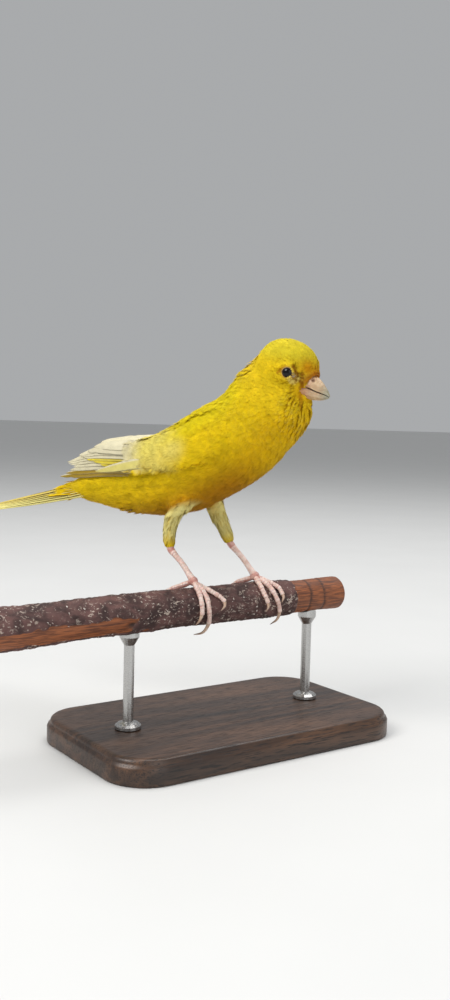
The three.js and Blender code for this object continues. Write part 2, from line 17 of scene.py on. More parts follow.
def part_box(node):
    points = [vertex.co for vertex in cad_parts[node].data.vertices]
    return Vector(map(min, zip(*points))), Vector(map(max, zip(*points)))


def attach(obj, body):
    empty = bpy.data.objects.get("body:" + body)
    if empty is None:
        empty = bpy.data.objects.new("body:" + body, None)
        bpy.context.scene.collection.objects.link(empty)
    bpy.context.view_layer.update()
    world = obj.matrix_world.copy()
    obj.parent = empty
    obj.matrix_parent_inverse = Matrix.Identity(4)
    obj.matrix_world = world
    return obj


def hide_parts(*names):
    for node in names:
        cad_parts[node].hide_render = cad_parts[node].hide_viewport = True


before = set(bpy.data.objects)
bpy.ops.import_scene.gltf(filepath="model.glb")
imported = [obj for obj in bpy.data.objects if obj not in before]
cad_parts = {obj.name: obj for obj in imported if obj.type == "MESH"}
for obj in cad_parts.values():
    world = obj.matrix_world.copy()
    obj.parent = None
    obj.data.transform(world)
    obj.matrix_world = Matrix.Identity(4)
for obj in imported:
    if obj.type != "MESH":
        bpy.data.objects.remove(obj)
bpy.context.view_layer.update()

# Names and measures that the whole script shares, in millimetres and degrees

MM = 0.001
ROOT_BODY = "root"
TINT = "Tint"
BAKE_MAP = "OFBake"
SIDES = {"right": -1, "left": 1}
BRANCH_TURN = 63.0
MERGE = 0.002
CURVE_STEPS = 200
LENGTH_STEPS = 60

Array = np.ndarray
Number = float | Array
Feed = NodeSocket | float | tuple

log = logging.getLogger("canary")


class Slot(Enum):
    """The record's names for the finishes."""

    PLUMAGE = "plumage"
    FLIGHT = "flight_feathers"
    EYE = "eye"
    BILL = "bill"
    LEG = "leg_skin"
    CLAW = "claw"
    BRANCH = "branch"
    BASE = "base"


class Hue(Enum):
    """The colours of the bird and its stand, as they look on a screen, from 0 to 255."""

    LEMON = (232, 198, 10)
    CROWN = (224, 204, 44)
    BACK = (228, 206, 14)
    BREAST = (226, 182, 6)
    # The belly's deeper yellow, darkened further with painted shade
    BELLY = (184, 126, 6)
    AMBER = (208, 144, 8)
    LORE = (200, 186, 76)
    # The head's yellow, brightened with painted light where the lamps leave the cheek dim
    CHEEK = (242, 208, 28)
    NARES = (178, 108, 34)
    PALE = (230, 218, 128)
    COVERT = (228, 206, 56)
    STRAW = (222, 208, 118)
    THIGH = (240, 228, 152)
    CREAM = (217, 208, 174)
    # Yellow outer webs darkened with painted shade, as under the lowest blades of the wing
    OCHRE = (160, 130, 22)
    EYE_PATCH = (230, 206, 126)
    EYELID = (178, 150, 84)
    EYELID_FRONT = (222, 202, 176)
    EYELID_EDGE = (104, 80, 62)
    SHAFT = (240, 226, 176)
    TAIL_TOP = (214, 186, 66)
    HORN_BASE = (198, 150, 114)
    HORN = (206, 178, 142)
    HORN_TIP = (146, 150, 130)
    # Painted shade along the line of the mouth and in the nostrils
    GAPE = (104, 60, 44)
    FLESH = (200, 148, 138)
    SCUTE = (232, 208, 198)
    CLAW = (206, 178, 156)
    BARK = (100, 70, 66)
    BARK_DARK = (56, 38, 36)
    FLAKE = (196, 180, 166)
    WOOD = (158, 92, 52)
    WOOD_DARK = (96, 54, 34)

    @property
    def light(self) -> Array:
        """The colour as shares of light, taken off the curve that screens use."""
        share = np.array(self.value) / 255
        return np.where(share <= 0.04045, share / 12.92, ((share + 0.055) / 1.055) ** 2.4)

    @property
    def rgba(self) -> tuple[float, float, float, float]:
        """The colour as shares of light with full cover."""
        return (*self.light, 1.0)


# Small reckonings on arrays of points, in millimetres


def unit(vectors: Array) -> Array:
    """Vectors scaled to length one along the last axis."""
    return vectors / np.maximum(np.linalg.norm(vectors, axis=-1, keepdims=True), 1e-9)


def lerp(first: Number, last: Number, share: Number) -> Number:
    """The value at a share of the way from the first to the last."""
    return first + (last - first) * share


def ease(low: float, high: float, value: Number) -> Array:
    """A smooth step from 0 at low to 1 at high, where low may be the greater."""
    share = np.clip((np.asarray(value) - low) / (high - low), 0, 1)
    return share * share * (3 - 2 * share)


def in_plane(vectors: Array, normals: Array) -> Array:
    """The part of each vector that lies across its normal, at length one."""
    return unit(vectors - normals * (vectors * normals).sum(-1, keepdims=True))


def blend(first: Array, last: Array, share: Number) -> Array:
    """Rows between two colours or directions, by one share for each row."""
    return first + (last - first) * np.asarray(share)[..., None]


@dataclass(frozen=True)
class Spline:
    """A smooth curve through points, its knots spaced by the root of the distance between them."""

    points: tuple

    def at(self, share: float) -> Array:
        """The place at a share of the run of knots.

        Args:
            share: from 0 at the first point to 1 at the last.

        Returns:
            The point on the curve.
        """
        knots = np.asarray(self.points, float)
        last = len(knots) - 1
        run = min(max(share, 0.0), 1.0) * last
        index = min(int(run), last - 1)
        part = run - index
        here, there = knots[index], knots[index + 1]
        before = knots[index - 1] if index else 2 * knots[0] - knots[1]
        after = knots[index + 2] if index + 2 <= last else 2 * knots[last] - knots[last - 1]
        pairs = ((before, here), (here, there), (there, after))
        gaps = [math.sqrt(np.linalg.norm(far - near)) for near, far in pairs]
        start = (here - before) / gaps[0] - (there - before) / (gaps[0] + gaps[1]) + (there - here) / gaps[1]
        end = (there - here) / gaps[1] - (after - here) / (gaps[1] + gaps[2]) + (after - there) / gaps[2]
        start, end = start * gaps[1], end * gaps[1]
        rise = there - here
        square, cube = 3 * rise - 2 * start - end, start + end - 2 * rise
        return here + start * part + square * part**2 + cube * part**3

    def even(self, count: int, first: float = 0.0, last: float = 1.0) -> Array:
        """Points at even distances along the curve.

        Args:
            count: how many points.
            first: the share of the length where they start.
            last: the share of the length where they end.

        Returns:
            The points, one a row.
        """
        fine = np.array([self.at(share) for share in np.linspace(0, 1, CURVE_STEPS)])
        walked = np.concatenate([[0], np.cumsum(np.linalg.norm(np.diff(fine, axis=0), axis=1))])
        wanted = np.linspace(first, last, count) * walked[-1]
        return np.stack([np.interp(wanted, walked, fine[:, axis]) for axis in range(3)], axis=1)

    def length(self) -> float:
        """The length of the curve."""
        return float(np.linalg.norm(np.diff(self.even(LENGTH_STEPS), axis=0), axis=1).sum())


# Making and finishing meshes


def mesh_of(name: str, points: Array, *faces: Array) -> Mesh:
    """A smooth-shaded mesh in metres from arrays in millimetres.

    Args:
        name: the mesh's name.
        points: the vertices, one a row.
        faces: arrays of vertex numbers, three or four a row.

    Returns:
        The mesh.
    """
    mesh = bpy.data.meshes.new(name)
    loops = np.concatenate([part.ravel() for part in faces]).astype(np.int32)
    totals = np.concatenate([np.full(len(part), part.shape[1], np.int32) for part in faces])
    starts = np.concatenate([[0], np.cumsum(totals)[:-1]]).astype(np.int32)
    mesh.vertices.add(len(points))
    mesh.vertices.foreach_set("co", (np.asarray(points) * MM).astype(np.float32).ravel())
    mesh.loops.add(len(loops))
    mesh.loops.foreach_set("vertex_index", loops)
    mesh.polygons.add(len(totals))
    mesh.polygons.foreach_set("loop_start", starts)
    mesh.polygons.foreach_set("use_smooth", np.ones(len(totals), bool))
    mesh.update(calc_edges=True)
    return mesh


def points_of(mesh: Mesh) -> Array:
    """A mesh's vertices in millimetres, one a row."""
    places = np.zeros(len(mesh.vertices) * 3, np.float32)
    mesh.vertices.foreach_get("co", places)
    return places.reshape(-1, 3).astype(float) / MM


def move_points(mesh: Mesh, points: Array) -> None:
    """Puts a mesh's vertices at these places, in millimetres."""
    mesh.vertices.foreach_set("co", (points * MM).astype(np.float32).ravel())
    mesh.update()


def normals_of(mesh: Mesh) -> Array:
    """A mesh's vertex normals, one a row."""
    normals = np.zeros(len(mesh.vertices) * 3, np.float32)
    mesh.vertex_normals.foreach_get("vector", normals)
    return normals.reshape(-1, 3).astype(float)


def paint(mesh: Mesh, colours: Array) -> None:
    """Gives each vertex its colour, in the attribute that the finishes read.

    Args:
        mesh: the mesh.
        colours: the colours as shares of light, one a row.
    """
    rgba = np.ones((len(mesh.vertices), 4), np.float32)
    rgba[:, :3] = np.clip(colours, 0, 1)
    mesh.attributes.new(TINT, "FLOAT_COLOR", "POINT").data.foreach_set("color", rgba.ravel())


def mark(mesh: Mesh, name: str, values: Array) -> None:
    """Gives each vertex a number under a name."""
    mesh.attributes.new(name, "FLOAT", "POINT").data.foreach_set("value", values.astype(np.float32))


def map_vertices(mesh: Mesh, name: str, places: Array) -> None:
    """Lays a UV map over a mesh.

    Args:
        mesh: the mesh.
        name: the map's name.
        places: each vertex's place on the map, one a row.
    """
    loops = np.zeros(len(mesh.loops), np.int32)
    mesh.loops.foreach_get("vertex_index", loops)
    mesh.uv_layers.new(name=name).uv.foreach_set("vector", places[loops].astype(np.float32).ravel())


def face_outwards(mesh: Mesh) -> None:
    """Turns the faces of closed forms to point outwards.

    Args:
        mesh: the forms.
    """
    form = bmesh.new()
    form.from_mesh(mesh)
    bmesh.ops.recalc_face_normals(form, faces=form.faces[:])
    form.to_mesh(mesh)
    form.free()


def merge_corners(form: bmesh.types.BMesh) -> None:
    """Merges the loose corners of a node's triangles."""
    bmesh.ops.remove_doubles(form, verts=form.verts[:], dist=MERGE * MM)


def relax(mesh: Mesh, rounds: int, hold: float = -0.52, mask: Array | None = None) -> None:
    """Smooths a mesh by steps halfway towards the neighbours and back.

    Args:
        mesh: the mesh to smooth.
        rounds: how many pairs of steps.
        hold: the share of the way that a point goes back, which keeps the mesh from shrinking.
        mask: how far each point takes part.
    """
    edges = np.zeros(len(mesh.edges) * 2, np.int32)
    mesh.edges.foreach_get("vertices", edges)
    first, last = edges.reshape(-1, 2).T
    points = points_of(mesh)
    count = len(points)
    near = np.maximum(np.bincount(first, minlength=count) + np.bincount(last, minlength=count), 1)[:, None]
    part = 1.0 if mask is None else mask[:, None]
    for step in range(2 * rounds):
        total = np.zeros_like(points)
        for axis in range(3):
            total[:, axis] = np.bincount(first, points[last, axis], count)
            total[:, axis] += np.bincount(last, points[first, axis], count)
        points += (total / near - points) * part * (hold if step % 2 else 0.5)
    move_points(mesh, points)


def loft(rings: Array) -> tuple[Array, Array, Array]:
    """A closed form through rings of points, with a pole at each end.

    Args:
        rings: ring, place round the ring, and x, y, z.

    Returns:
        The points, the four-sided faces and the three-sided faces.
    """
    count, sides = rings.shape[:2]
    points = np.concatenate([rings.reshape(-1, 3), rings[:1].mean(1), rings[-1:].mean(1)])
    ring, place = np.meshgrid(np.arange(count - 1), np.arange(sides), indexing="ij")
    here, there = ring * sides + place, ring * sides + (place + 1) % sides
    quads = np.stack([here, there, there + sides, here + sides], -1).reshape(-1, 4)
    side = np.arange(sides)
    first = np.stack([(side + 1) % sides, side, np.full(sides, count * sides)], -1)
    end = (count - 1) * sides
    last = np.stack([end + side, end + (side + 1) % sides, np.full(sides, count * sides + 1)], -1)
    return points, quads, np.concatenate([first, last])


def limb(
    path: Array, radius: Array, side: Array, count: int = 24, flat: float = 1.0
) -> Array:
    """Rings round a path.

    Args:
        path: the middle line, one point a row.
        radius: the radius at each point.
        side: a direction that the rings' first point is kept near.
        count: the number of places round each ring.
        flat: the height of a ring as a share of its breadth.

    Returns:
        The rings, for loft.
    """
    ahead = unit(np.gradient(path, axis=0))
    first = in_plane(np.broadcast_to(np.asarray(side, float), path.shape), ahead)
    second = np.cross(ahead, first)
    turn = np.linspace(0, 2 * math.pi, count, endpoint=False)
    spread = first[:, None] * np.cos(turn)[None, :, None]
    spread = spread + flat * second[:, None] * np.sin(turn)[None, :, None]
    return path[:, None] + spread * radius[:, None, None]


def joined(forms: list[tuple]) -> tuple[Array, Array, Array]:
    """Several lofts as one.

    Args:
        forms: the points, four-sided faces and three-sided faces of each.

    Returns:
        The points, the four-sided faces and the three-sided faces of all.
    """
    points, quads, tris, base = [], [], [], 0
    for form_points, form_quads, form_tris in forms:
        points.append(form_points)
        quads.append(form_quads + base)
        tris.append(form_tris + base)
        base += len(form_points)
    return np.concatenate(points), np.concatenate(quads), np.concatenate(tris)


def new_object(mesh: Mesh, material: Material | None = None) -> Object:
    """Puts a mesh in the scene.

    Args:
        mesh: the mesh.
        material: its finish.

    Returns:
        The object that holds it.
    """
    made = bpy.data.objects.new(mesh.name, mesh)
    bpy.context.scene.collection.objects.link(made)
    if material:
        mesh.materials.clear()
        mesh.materials.append(material)
    return made


def plain_mesh(made: Object, name: str) -> Mesh:
    """Works an object's modifiers into a mesh and takes the object away.

    Args:
        made: the object.
        name: the name of the new mesh.

    Returns:
        The new mesh.
    """
    bpy.context.view_layer.update()
    graph = bpy.context.evaluated_depsgraph_get()
    mesh = bpy.data.meshes.new_from_object(made.evaluated_get(graph), depsgraph=graph)
    mesh.name = name
    old = made.data
    bpy.data.objects.remove(made)
    if isinstance(old, Mesh) and not old.users:
        bpy.data.meshes.remove(old)
    return mesh


def remeshed(mesh: Mesh, grain: float) -> Mesh:
    """Overlapping closed forms as one closed surface of small even faces.

    Args:
        mesh: the forms.
        grain: the size of a face in millimetres.

    Returns:
        The new mesh.
    """
    name = mesh.name
    made = new_object(mesh)
    modifier = made.modifiers.new("remesh", "REMESH")
    modifier.mode = "VOXEL"
    modifier.voxel_size = grain * MM
    modifier.use_smooth_shade = True
    return plain_mesh(made, name)


def finish_piece(made: Object, nodes: tuple[str, ...] = ()) -> Object:
    """Sets a finished piece on the model's one body and reports it.

    Args:
        made: the piece.
        nodes: the nodes that it stands for.

    Returns:
        The piece.
    """
    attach(made, ROOT_BODY)
    if nodes:
        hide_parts(*nodes)
    made.data.calc_loop_triangles()
    log.info("%s: %d triangles", made.name, len(made.data.loop_triangles))
    return made


class Spots:
    """A set of places that can be asked for the nearest one."""

    def __init__(self, places: Array):
        """Reads the places once.

        Args:
            places: the spots, one a row.
        """
        self.tree = KDTree(len(places))
        for index, place in enumerate(places.tolist()):
            self.tree.insert(place, index)
        self.tree.balance()

    def nearest(self, places: Array) -> tuple[Array, Array]:
        """The number of the nearest spot to each place, and its distance."""
        found = [self.tree.find(place) for place in places.tolist()]
        return np.array([hit[1] for hit in found], int), np.array([hit[2] for hit in found])


class Surface:
    """A surface that can be asked for its nearest point."""

    def __init__(self, mesh: Mesh):
        """Reads the mesh once.

        Args:
            mesh: the surface's mesh.
        """
        form = bmesh.new()
        form.from_mesh(mesh)
        self.tree = BVHTree.FromBMesh(form)
        form.free()

    def nearest(self, points: Array) -> tuple[Array, Array, Array]:
        """The nearest places.

        Args:
            points: places in millimetres, one a row.

        Returns:
            The nearest points, the normals there and the distances.
        """
        found = [self.tree.find_nearest(Vector(point)) for point in (points * MM).tolist()]
        places = np.array([hit[0] for hit in found]) / MM
        return places, np.array([hit[1] for hit in found]), np.array([hit[3] for hit in found]) / MM


# Finishes


class Nodes:
    """Short ways to add nodes to a tree."""

    tree: bpy.types.NodeTree

    def feed(self, socket: NodeSocket, value: Feed) -> None:
        """Links a socket to another, or sets it to a value.

        Args:
            socket: the input socket.
            value: the output socket or the value that it takes.
        """
        if isinstance(value, NodeSocket):
            self.tree.links.new(value, socket)
        else:
            socket.default_value = value

    def node(self, kind: str, settings: dict | None = None, **inputs: Feed) -> Node:
        """A new node.

        Args:
            kind: the node's type.
            settings: its properties.
            inputs: what its input sockets take, their spaces given as underscores.

        Returns:
            The node.
        """
        made = self.tree.nodes.new(kind)
        for name, value in (settings or {}).items():
            setattr(made, name, value)
        for name, value in inputs.items():
            self.feed(made.inputs[name.replace("_", " ")], value)
        return made

    def sum(self, first: Feed, last: Feed, how: str = "ADD") -> NodeSocket:
        """Two numbers put together.

        Args:
            first: the first number.
            last: the last number.
            how: the reckoning.

        Returns:
            The result.
        """
        made = self.node("ShaderNodeMath", {"operation": how})
        self.feed(made.inputs[0], first)
        self.feed(made.inputs[1], last)
        return made.outputs[0]


class Shader(Nodes):
    """A new material with one main shader."""

    def __init__(self, name: str, **sockets: float):
        """Makes the material.

        Args:
            name: its name.
            sockets: what the main shader's own sockets take, their spaces given as underscores.
        """
        self.material = bpy.data.materials.new(name)
        self.material.use_nodes = True
        self.tree = self.material.node_tree
        self.main = self.tree.nodes["Principled BSDF"]
        for socket, value in sockets.items():
            self.set(socket.replace("_", " "), value)

    def set(self, socket: str, value: Feed) -> None:
        """Gives one of the main shader's sockets what it takes."""
        self.feed(self.main.inputs[socket], value)

    def dye(self, shade: NodeSocket) -> None:
        """Gives the main shader the painted colour, darkened by a shade."""
        self.set("Base Color", self.mix(1.0, self.tint(), shade, "MULTIPLY"))

    def tint(self) -> NodeSocket:
        """The colour that each vertex was given."""
        return self.node("ShaderNodeAttribute", {"attribute_name": TINT}).outputs["Color"]

    def number(self, name: str) -> NodeSocket:
        """The number that each vertex was given under a name."""
        return self.node("ShaderNodeAttribute", {"attribute_name": name}).outputs["Fac"]

    def place(self, stretch: tuple = (1, 1, 1), turn: float = 0.0) -> NodeSocket:
        """Object coordinates that turn and draw out a pattern.

        Args:
            stretch: how many times longer the pattern is along each of its axes.
            turn: the degrees by which it is turned about the upright.

        Returns:
            The coordinates.
        """
        source = self.node("ShaderNodeTexCoord").outputs["Object"]
        made = self.node("ShaderNodeMapping", {"vector_type": "TEXTURE"}, Vector=source, Scale=stretch)
        made.inputs["Rotation"].default_value = (0, 0, math.radians(turn))
        return made.outputs["Vector"]

    def noise(self, size: float, vector: NodeSocket, detail: float = 3.0, warp: float = 0.0) -> NodeSocket:
        """Cloudy noise whose blots are about this many millimetres across."""
        inputs = {"Vector": vector, "Scale": 1 / (size * MM), "Detail": detail, "Distortion": warp}
        return self.node("ShaderNodeTexNoise", **inputs).outputs["Fac"]

    def between(
        self, value: NodeSocket, low: float, high: float, first: float = 0.0, last: float = 1.0
    ) -> NodeSocket:
        """A number moved smoothly from one range into another.

        Args:
            value: the number.
            low: the start of its range.
            high: the end of its range.
            first: the start of the new range.
            last: the end of the new range.

        Returns:
            The number in the new range.
        """
        made = self.node("ShaderNodeMapRange", {"interpolation_type": "SMOOTHSTEP"}, Value=value)
        for socket, number in zip(("From Min", "From Max", "To Min", "To Max"), (low, high, first, last)):
            made.inputs[socket].default_value = number
        return made.outputs["Result"]

    def mix(self, share: Feed, first: Feed, last: Feed, how: str = "MIX") -> NodeSocket:
        """Two colours blended.

        Args:
            share: how much of the last colour is taken.
            first: the first colour.
            last: the last colour.
            how: the way of blending.

        Returns:
            The colour.
        """
        made = self.node("ShaderNodeMix", {"data_type": "RGBA", "blend_type": how})
        share_socket, first_socket, last_socket, colour_socket = 0, 6, 7, 2
        for index, value in ((share_socket, share), (first_socket, first), (last_socket, last)):
            self.feed(made.inputs[index], value)
        return made.outputs[colour_socket]

    def bump(self, height: NodeSocket, depth: float, strength: float = 1.0) -> None:
        """Gives the main shader relief of this depth in millimetres."""
        made = self.node("ShaderNodeBump", Strength=strength, Distance=depth * MM, Height=height)
        self.set("Normal", made.outputs["Normal"])


@dataclass(frozen=True)
class PlumageFinish:
    """Soft small feathers and the skin under them: the painted colour, mottled."""

    name: str = "plumage_small_feathers"
    mottle: float = 0.16
    blot: float = 3.2
    speck: float = 0.3
    roughness: float = 0.75
    sheen: float = 0.02
    gloss: float = 0.1

    def material(self) -> Material:
        """Mottles the painted colour coarsely and finely.

        Returns:
            The material.
        """
        shader = Shader(self.name, Roughness=self.roughness, Sheen_Weight=self.sheen, Sheen_Roughness=0.5)
        shader.set("Specular IOR Level", self.gloss)
        shader.set("Sheen Tint", Hue.PALE.rgba)
        cloud = shader.between(shader.noise(self.blot, shader.place(), 4), 0.3, 0.7, 1 - self.mottle, 1)
        fine = shader.between(shader.noise(self.speck, shader.place(), 2), 0.3, 0.7, 0.9, 1)
        shade = shader.sum(cloud, fine, "MULTIPLY")
        shader.dye(shade)
        shader.bump(shader.noise(0.25, shader.place(), 3), 0.05, 0.4)
        return shader.material


@dataclass(frozen=True)
class VaneFinish:
    """Long feathers: the painted colour with slanting barbs on both sides of the shaft."""

    name: str = "plumage_long_feathers"
    barbs: float = 150.0
    slope: float = -0.06
    roughness: float = 0.5
    gloss: float = 0.3

    def material(self) -> Material:
        """Draws the barbs from each vertex's place across and along its feather.

        Returns:
            The material.
        """
        shader = Shader(self.name, Roughness=self.roughness, Sheen_Weight=0.05, Sheen_Roughness=0.4)
        shader.set("Specular IOR Level", self.gloss)
        across, along = shader.number("Across"), shader.number("Along")
        slant = shader.sum(along, shader.sum(shader.sum(across, 0.0, "ABSOLUTE"), self.slope, "MULTIPLY"))
        comb = shader.sum(shader.sum(slant, self.barbs * 2 * math.pi, "MULTIPLY"), 0.0, "SINE")
        line = shader.between(comb, -1.0, 1.0, 0.93, 1.0)
        cloud = shader.between(shader.noise(2.0, shader.place(), 3), 0.3, 0.7, 0.9, 1.0)
        shade = shader.sum(line, cloud, "MULTIPLY")
        shader.dye(shade)
        shader.bump(comb, 0.03, 0.5)
        return shader.material


@dataclass(frozen=True)
class EyeFinish:
    """A wet dark eye: a black pupil in a very dark brown iris."""

    name: str = "eye_gloss"
    pupil: float = 0.6
    rim: float = 0.12
    black: tuple = (0.003, 0.0025, 0.0025, 1)
    dark: tuple = (0.028, 0.011, 0.005, 1)
    brown: tuple = (0.085, 0.032, 0.012, 1)

    def material(self) -> Material:
        """Sets the pupil and the iris by each vertex's distance from the middle.

        Returns:
            The material.
        """
        shader = Shader(self.name, Roughness=0.05, IOR=1.36)
        fibres = shader.noise(0.25, shader.place(), 4)
        iris = shader.mix(fibres, self.dark, self.brown)
        ring = shader.between(shader.number("Iris"), self.pupil, self.pupil + self.rim)
        shader.set("Base Color", shader.mix(ring, self.black, iris))
        return shader.material


@dataclass(frozen=True)
class HornFinish:
    """Horn, as on the bill and the claws: the painted colour, clouded, finely grained and a little clear."""

    name: str
    grain: float = 0.22
    cloud: float = 1.4
    stain: tuple = (0.72, 0.66, 0.62, 1)
    roughness: float = 0.38
    glow: float = 0.12
    depth: tuple = (1.0, 0.5, 0.3)

    def material(self) -> Material:
        """Clouds the painted colour and grains it lengthways.

        Returns:
            The material.
        """
        shader = Shader(self.name, Roughness=self.roughness, Subsurface_Weight=self.glow)
        shader.set("Subsurface Radius", self.depth)
        shader.set("Subsurface Scale", 0.5 * MM)
        blots = shader.between(shader.noise(self.cloud, shader.place(), 4, 0.4), 0.3, 0.72)
        clouded = shader.mix(blots, self.stain, (1, 1, 1, 1))
        shader.dye(clouded)
        lines = shader.noise(self.grain, shader.place((3, 1, 1)), 4)
        shader.set("Roughness", shader.between(lines, 0.3, 0.7, self.roughness - 0.08, self.roughness + 0.14))
        shader.bump(lines, 0.04, 0.45)
        return shader.material


@dataclass(frozen=True)
class ScalyFinish:
    """Bare skin of the legs: the painted flesh colour with fine creases."""

    name: str
    crease: float = 0.35
    stain: tuple = (0.82, 0.68, 0.64, 1)
    roughness: float = 0.48
    glow: float = 0.15
    depth: tuple = (1.0, 0.4, 0.25)

    def material(self) -> Material:
        """Clouds the painted colour and creases it into small cells.

        Returns:
            The material.
        """
        shader = Shader(self.name, Roughness=self.roughness, Subsurface_Weight=self.glow)
        shader.set("Subsurface Radius", self.depth)
        shader.set("Subsurface Scale", 0.4 * MM)
        blots = shader.between(shader.noise(1.6, shader.place(), 3), 0.3, 0.7)
        clouded = shader.mix(blots, self.stain, (1, 1, 1, 1))
        shader.dye(clouded)
        cells = shader.node("ShaderNodeTexVoronoi", {"feature": "DISTANCE_TO_EDGE"}, Vector=shader.place())
        cells.inputs["Scale"].default_value = 1 / (self.crease * MM)
        creases = shader.between(cells.outputs["Distance"], 0.0, 0.16)
        shader.bump(creases, 0.03, 0.5)
        return shader.material


@dataclass(frozen=True)
class BranchFinish:
    """The branch: flecked bark, and bare wood with its grain where the bark is gone."""

    name: str = "branch_bark_and_wood"
    turn: float = BRANCH_TURN
    blot: float = 5.0
    fleck: float = 1.1
    fibre: float = 0.5
    scar: tuple = (0.03, 0.012, 0.008, 1)

    def material(self) -> Material:
        """Lays flecked bark over grained wood, as each vertex is marked.

        Returns:
            The material.
        """
        shader = Shader(self.name, Roughness=0.8)
        drawn = shader.place((1.4, 1, 1), self.turn)
        patches = shader.between(shader.noise(self.blot, drawn, 5, 0.6), 0.36, 0.66)
        bark = shader.mix(patches, Hue.BARK_DARK.rgba, Hue.BARK.rgba)
        drawn = shader.place((1.5, 1, 1), self.turn)
        scales = shader.between(shader.noise(self.fleck, drawn, 6, 1.2), 0.56, 0.66)
        pale = shader.between(shader.noise(7.0, shader.place(), 3), 0.4, 0.66, 0.15, 0.85)
        bark = shader.mix(shader.sum(scales, pale, "MULTIPLY"), bark, Hue.FLAKE.rgba)
        grain = shader.noise(self.fibre, shader.place((12, 1, 1), self.turn), 5, 0.3)
        wood = shader.mix(shader.between(grain, 0.34, 0.68), Hue.WOOD_DARK.rgba, Hue.WOOD.rgba)
        wood = shader.mix(shader.number("Ring"), wood, self.scar)
        bare = shader.between(shader.number("Bare"), 0.35, 0.65)
        shader.set("Base Color", shader.mix(bare, bark, wood))
        shader.set("Roughness", shader.between(bare, 0.0, 1.0, 0.86, 0.6))
        relief = shader.sum(shader.noise(0.5, shader.place(), 6), grain)
        shader.bump(relief, 0.16, 0.6)
        return shader.material


@dataclass(frozen=True)
class FlakeFinish:
    """Loose pale flakes of dry bark and dust."""

    name: str = "branch_flakes"
    dark: tuple = (0.22, 0.15, 0.12, 1)
    pale: tuple = (0.66, 0.6, 0.54, 1)

    def material(self) -> Material:
        """Clouds dark flakes with pale dust.

        Returns:
            The material.
        """
        shader = Shader(self.name, Roughness=0.85)
        tone = shader.between(shader.noise(0.8, shader.place(), 3), 0.3, 0.7)
        shader.set("Base Color", shader.mix(tone, self.dark, self.pale))
        shader.bump(shader.noise(0.2, shader.place(), 3), 0.05, 0.5)
        return shader.material


@dataclass(frozen=True)
class WalnutFinish:
    """Dark oiled walnut, its grain along the branch."""

    name: str = "stand_walnut"
    turn: float = BRANCH_TURN
    pore: tuple = (0.012, 0.006, 0.004, 1)
    dark: tuple = (0.028, 0.013, 0.007, 1)
    brown: tuple = (0.115, 0.055, 0.028, 1)

    def material(self) -> Material:
        """Draws wide figure and fine pores along the grain.

        Returns:
            The material.
        """
        shader = Shader(self.name, Roughness=0.4, Coat_Weight=0.12, Coat_Roughness=0.3)
        stretched = shader.place((16, 1, 1), self.turn)
        wide = shader.noise(6.0, stretched, 4, 1.4)
        pores = shader.between(shader.noise(0.35, stretched, 3), 0.34, 0.5)
        figure = shader.mix(shader.between(wide, 0.3, 0.7), self.dark, self.brown)
        cloud = shader.between(shader.noise(22.0, shader.place(), 2), 0.3, 0.7, 0.75, 1.0)
        shader.set("Base Color", shader.mix(pores, self.pore, shader.mix(1.0, figure, cloud, "MULTIPLY")))
        shader.set("Roughness", shader.between(pores, 0.0, 1.0, 0.55, 0.36))
        shader.bump(pores, 0.05, 0.35)
        return shader.material


@dataclass(frozen=True)
class SteelFinish:
    """Brushed steel, brushed round the rods."""

    name: str = "stand_steel"
    dark: tuple = (0.4, 0.4, 0.4, 1)
    bright: tuple = (0.58, 0.57, 0.55, 1)

    def material(self) -> Material:
        """Brushes the steel in fine level lines.

        Returns:
            The material.
        """
        shader = Shader(self.name, Metallic=1.0, Roughness=0.3)
        brushing = shader.noise(0.12, shader.place((8, 8, 1)), 4)
        shader.set("Base Color", shader.mix(brushing, self.dark, self.bright))
        shader.set("Roughness", shader.between(brushing, 0.3, 0.7, 0.22, 0.4))
        shader.bump(brushing, 0.01, 0.3)
        return shader.material


@dataclass(frozen=True)
class FloorFinish:
    """A plain pale painted floor."""

    name: str = "floor_pale"
    blot: float = 60.0
    grey: tuple = (0.66, 0.66, 0.65, 1)
    pale: tuple = (0.7, 0.7, 0.69, 1)

    def material(self) -> Material:
        """Clouds the paint a little.

        Returns:
            The material.
        """
        shader = Shader(self.name, Roughness=0.7)
        shader.set("Base Color", shader.mix(shader.noise(self.blot, shader.place(), 3), self.grey, self.pale))
        return shader.material


# The bird's measures that several pieces share


@dataclass(frozen=True)
class HeadFrame:
    """The head's own frame: x towards the face, y to the left, z to the crown, in millimetres."""

    centre: tuple = (20.6, -0.6, 122.2)
    yaw: float = -6.0
    pitch: float = 12.0

    def turn(self) -> Array:
        """The matrix that turns the head's directions into the model's."""
        yaw = Matrix.Rotation(math.radians(self.yaw), 3, "Z")
        pitch = Matrix.Rotation(math.radians(self.pitch), 3, "Y")
        return np.array(yaw @ pitch)

    def out(self, points: Array | tuple) -> Array:
        """Places in the head's frame as places in the model."""
        return np.asarray(points, float) @ self.turn().T + np.array(self.centre)

    def into(self, points: Array | tuple) -> Array:
        """Places in the model as places in the head's frame."""
        return (np.asarray(points, float) - np.array(self.centre)) @ self.turn()


HEAD = HeadFrame()
BILL_BASE = HEAD.out((11.0, 0, -3.2))
EYE_LOOK = (0.3, 1.0, 0.05)


def eye_middle(side: str) -> Array:
    """The middle of an eyeball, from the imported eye."""
    low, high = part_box(f"eye_{side}")
    return np.array((low + high) / 2) / MM


def eye_radius() -> float:
    """The radius of the eyeballs."""
    low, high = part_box("eye_right")
    return (high - low).z / 2 / MM


def eye_look(side: str) -> Array:
    """The way an eye looks."""
    ahead, out, up = EYE_LOOK
    return unit(HEAD.turn() @ np.array([ahead, SIDES[side] * out, up]))


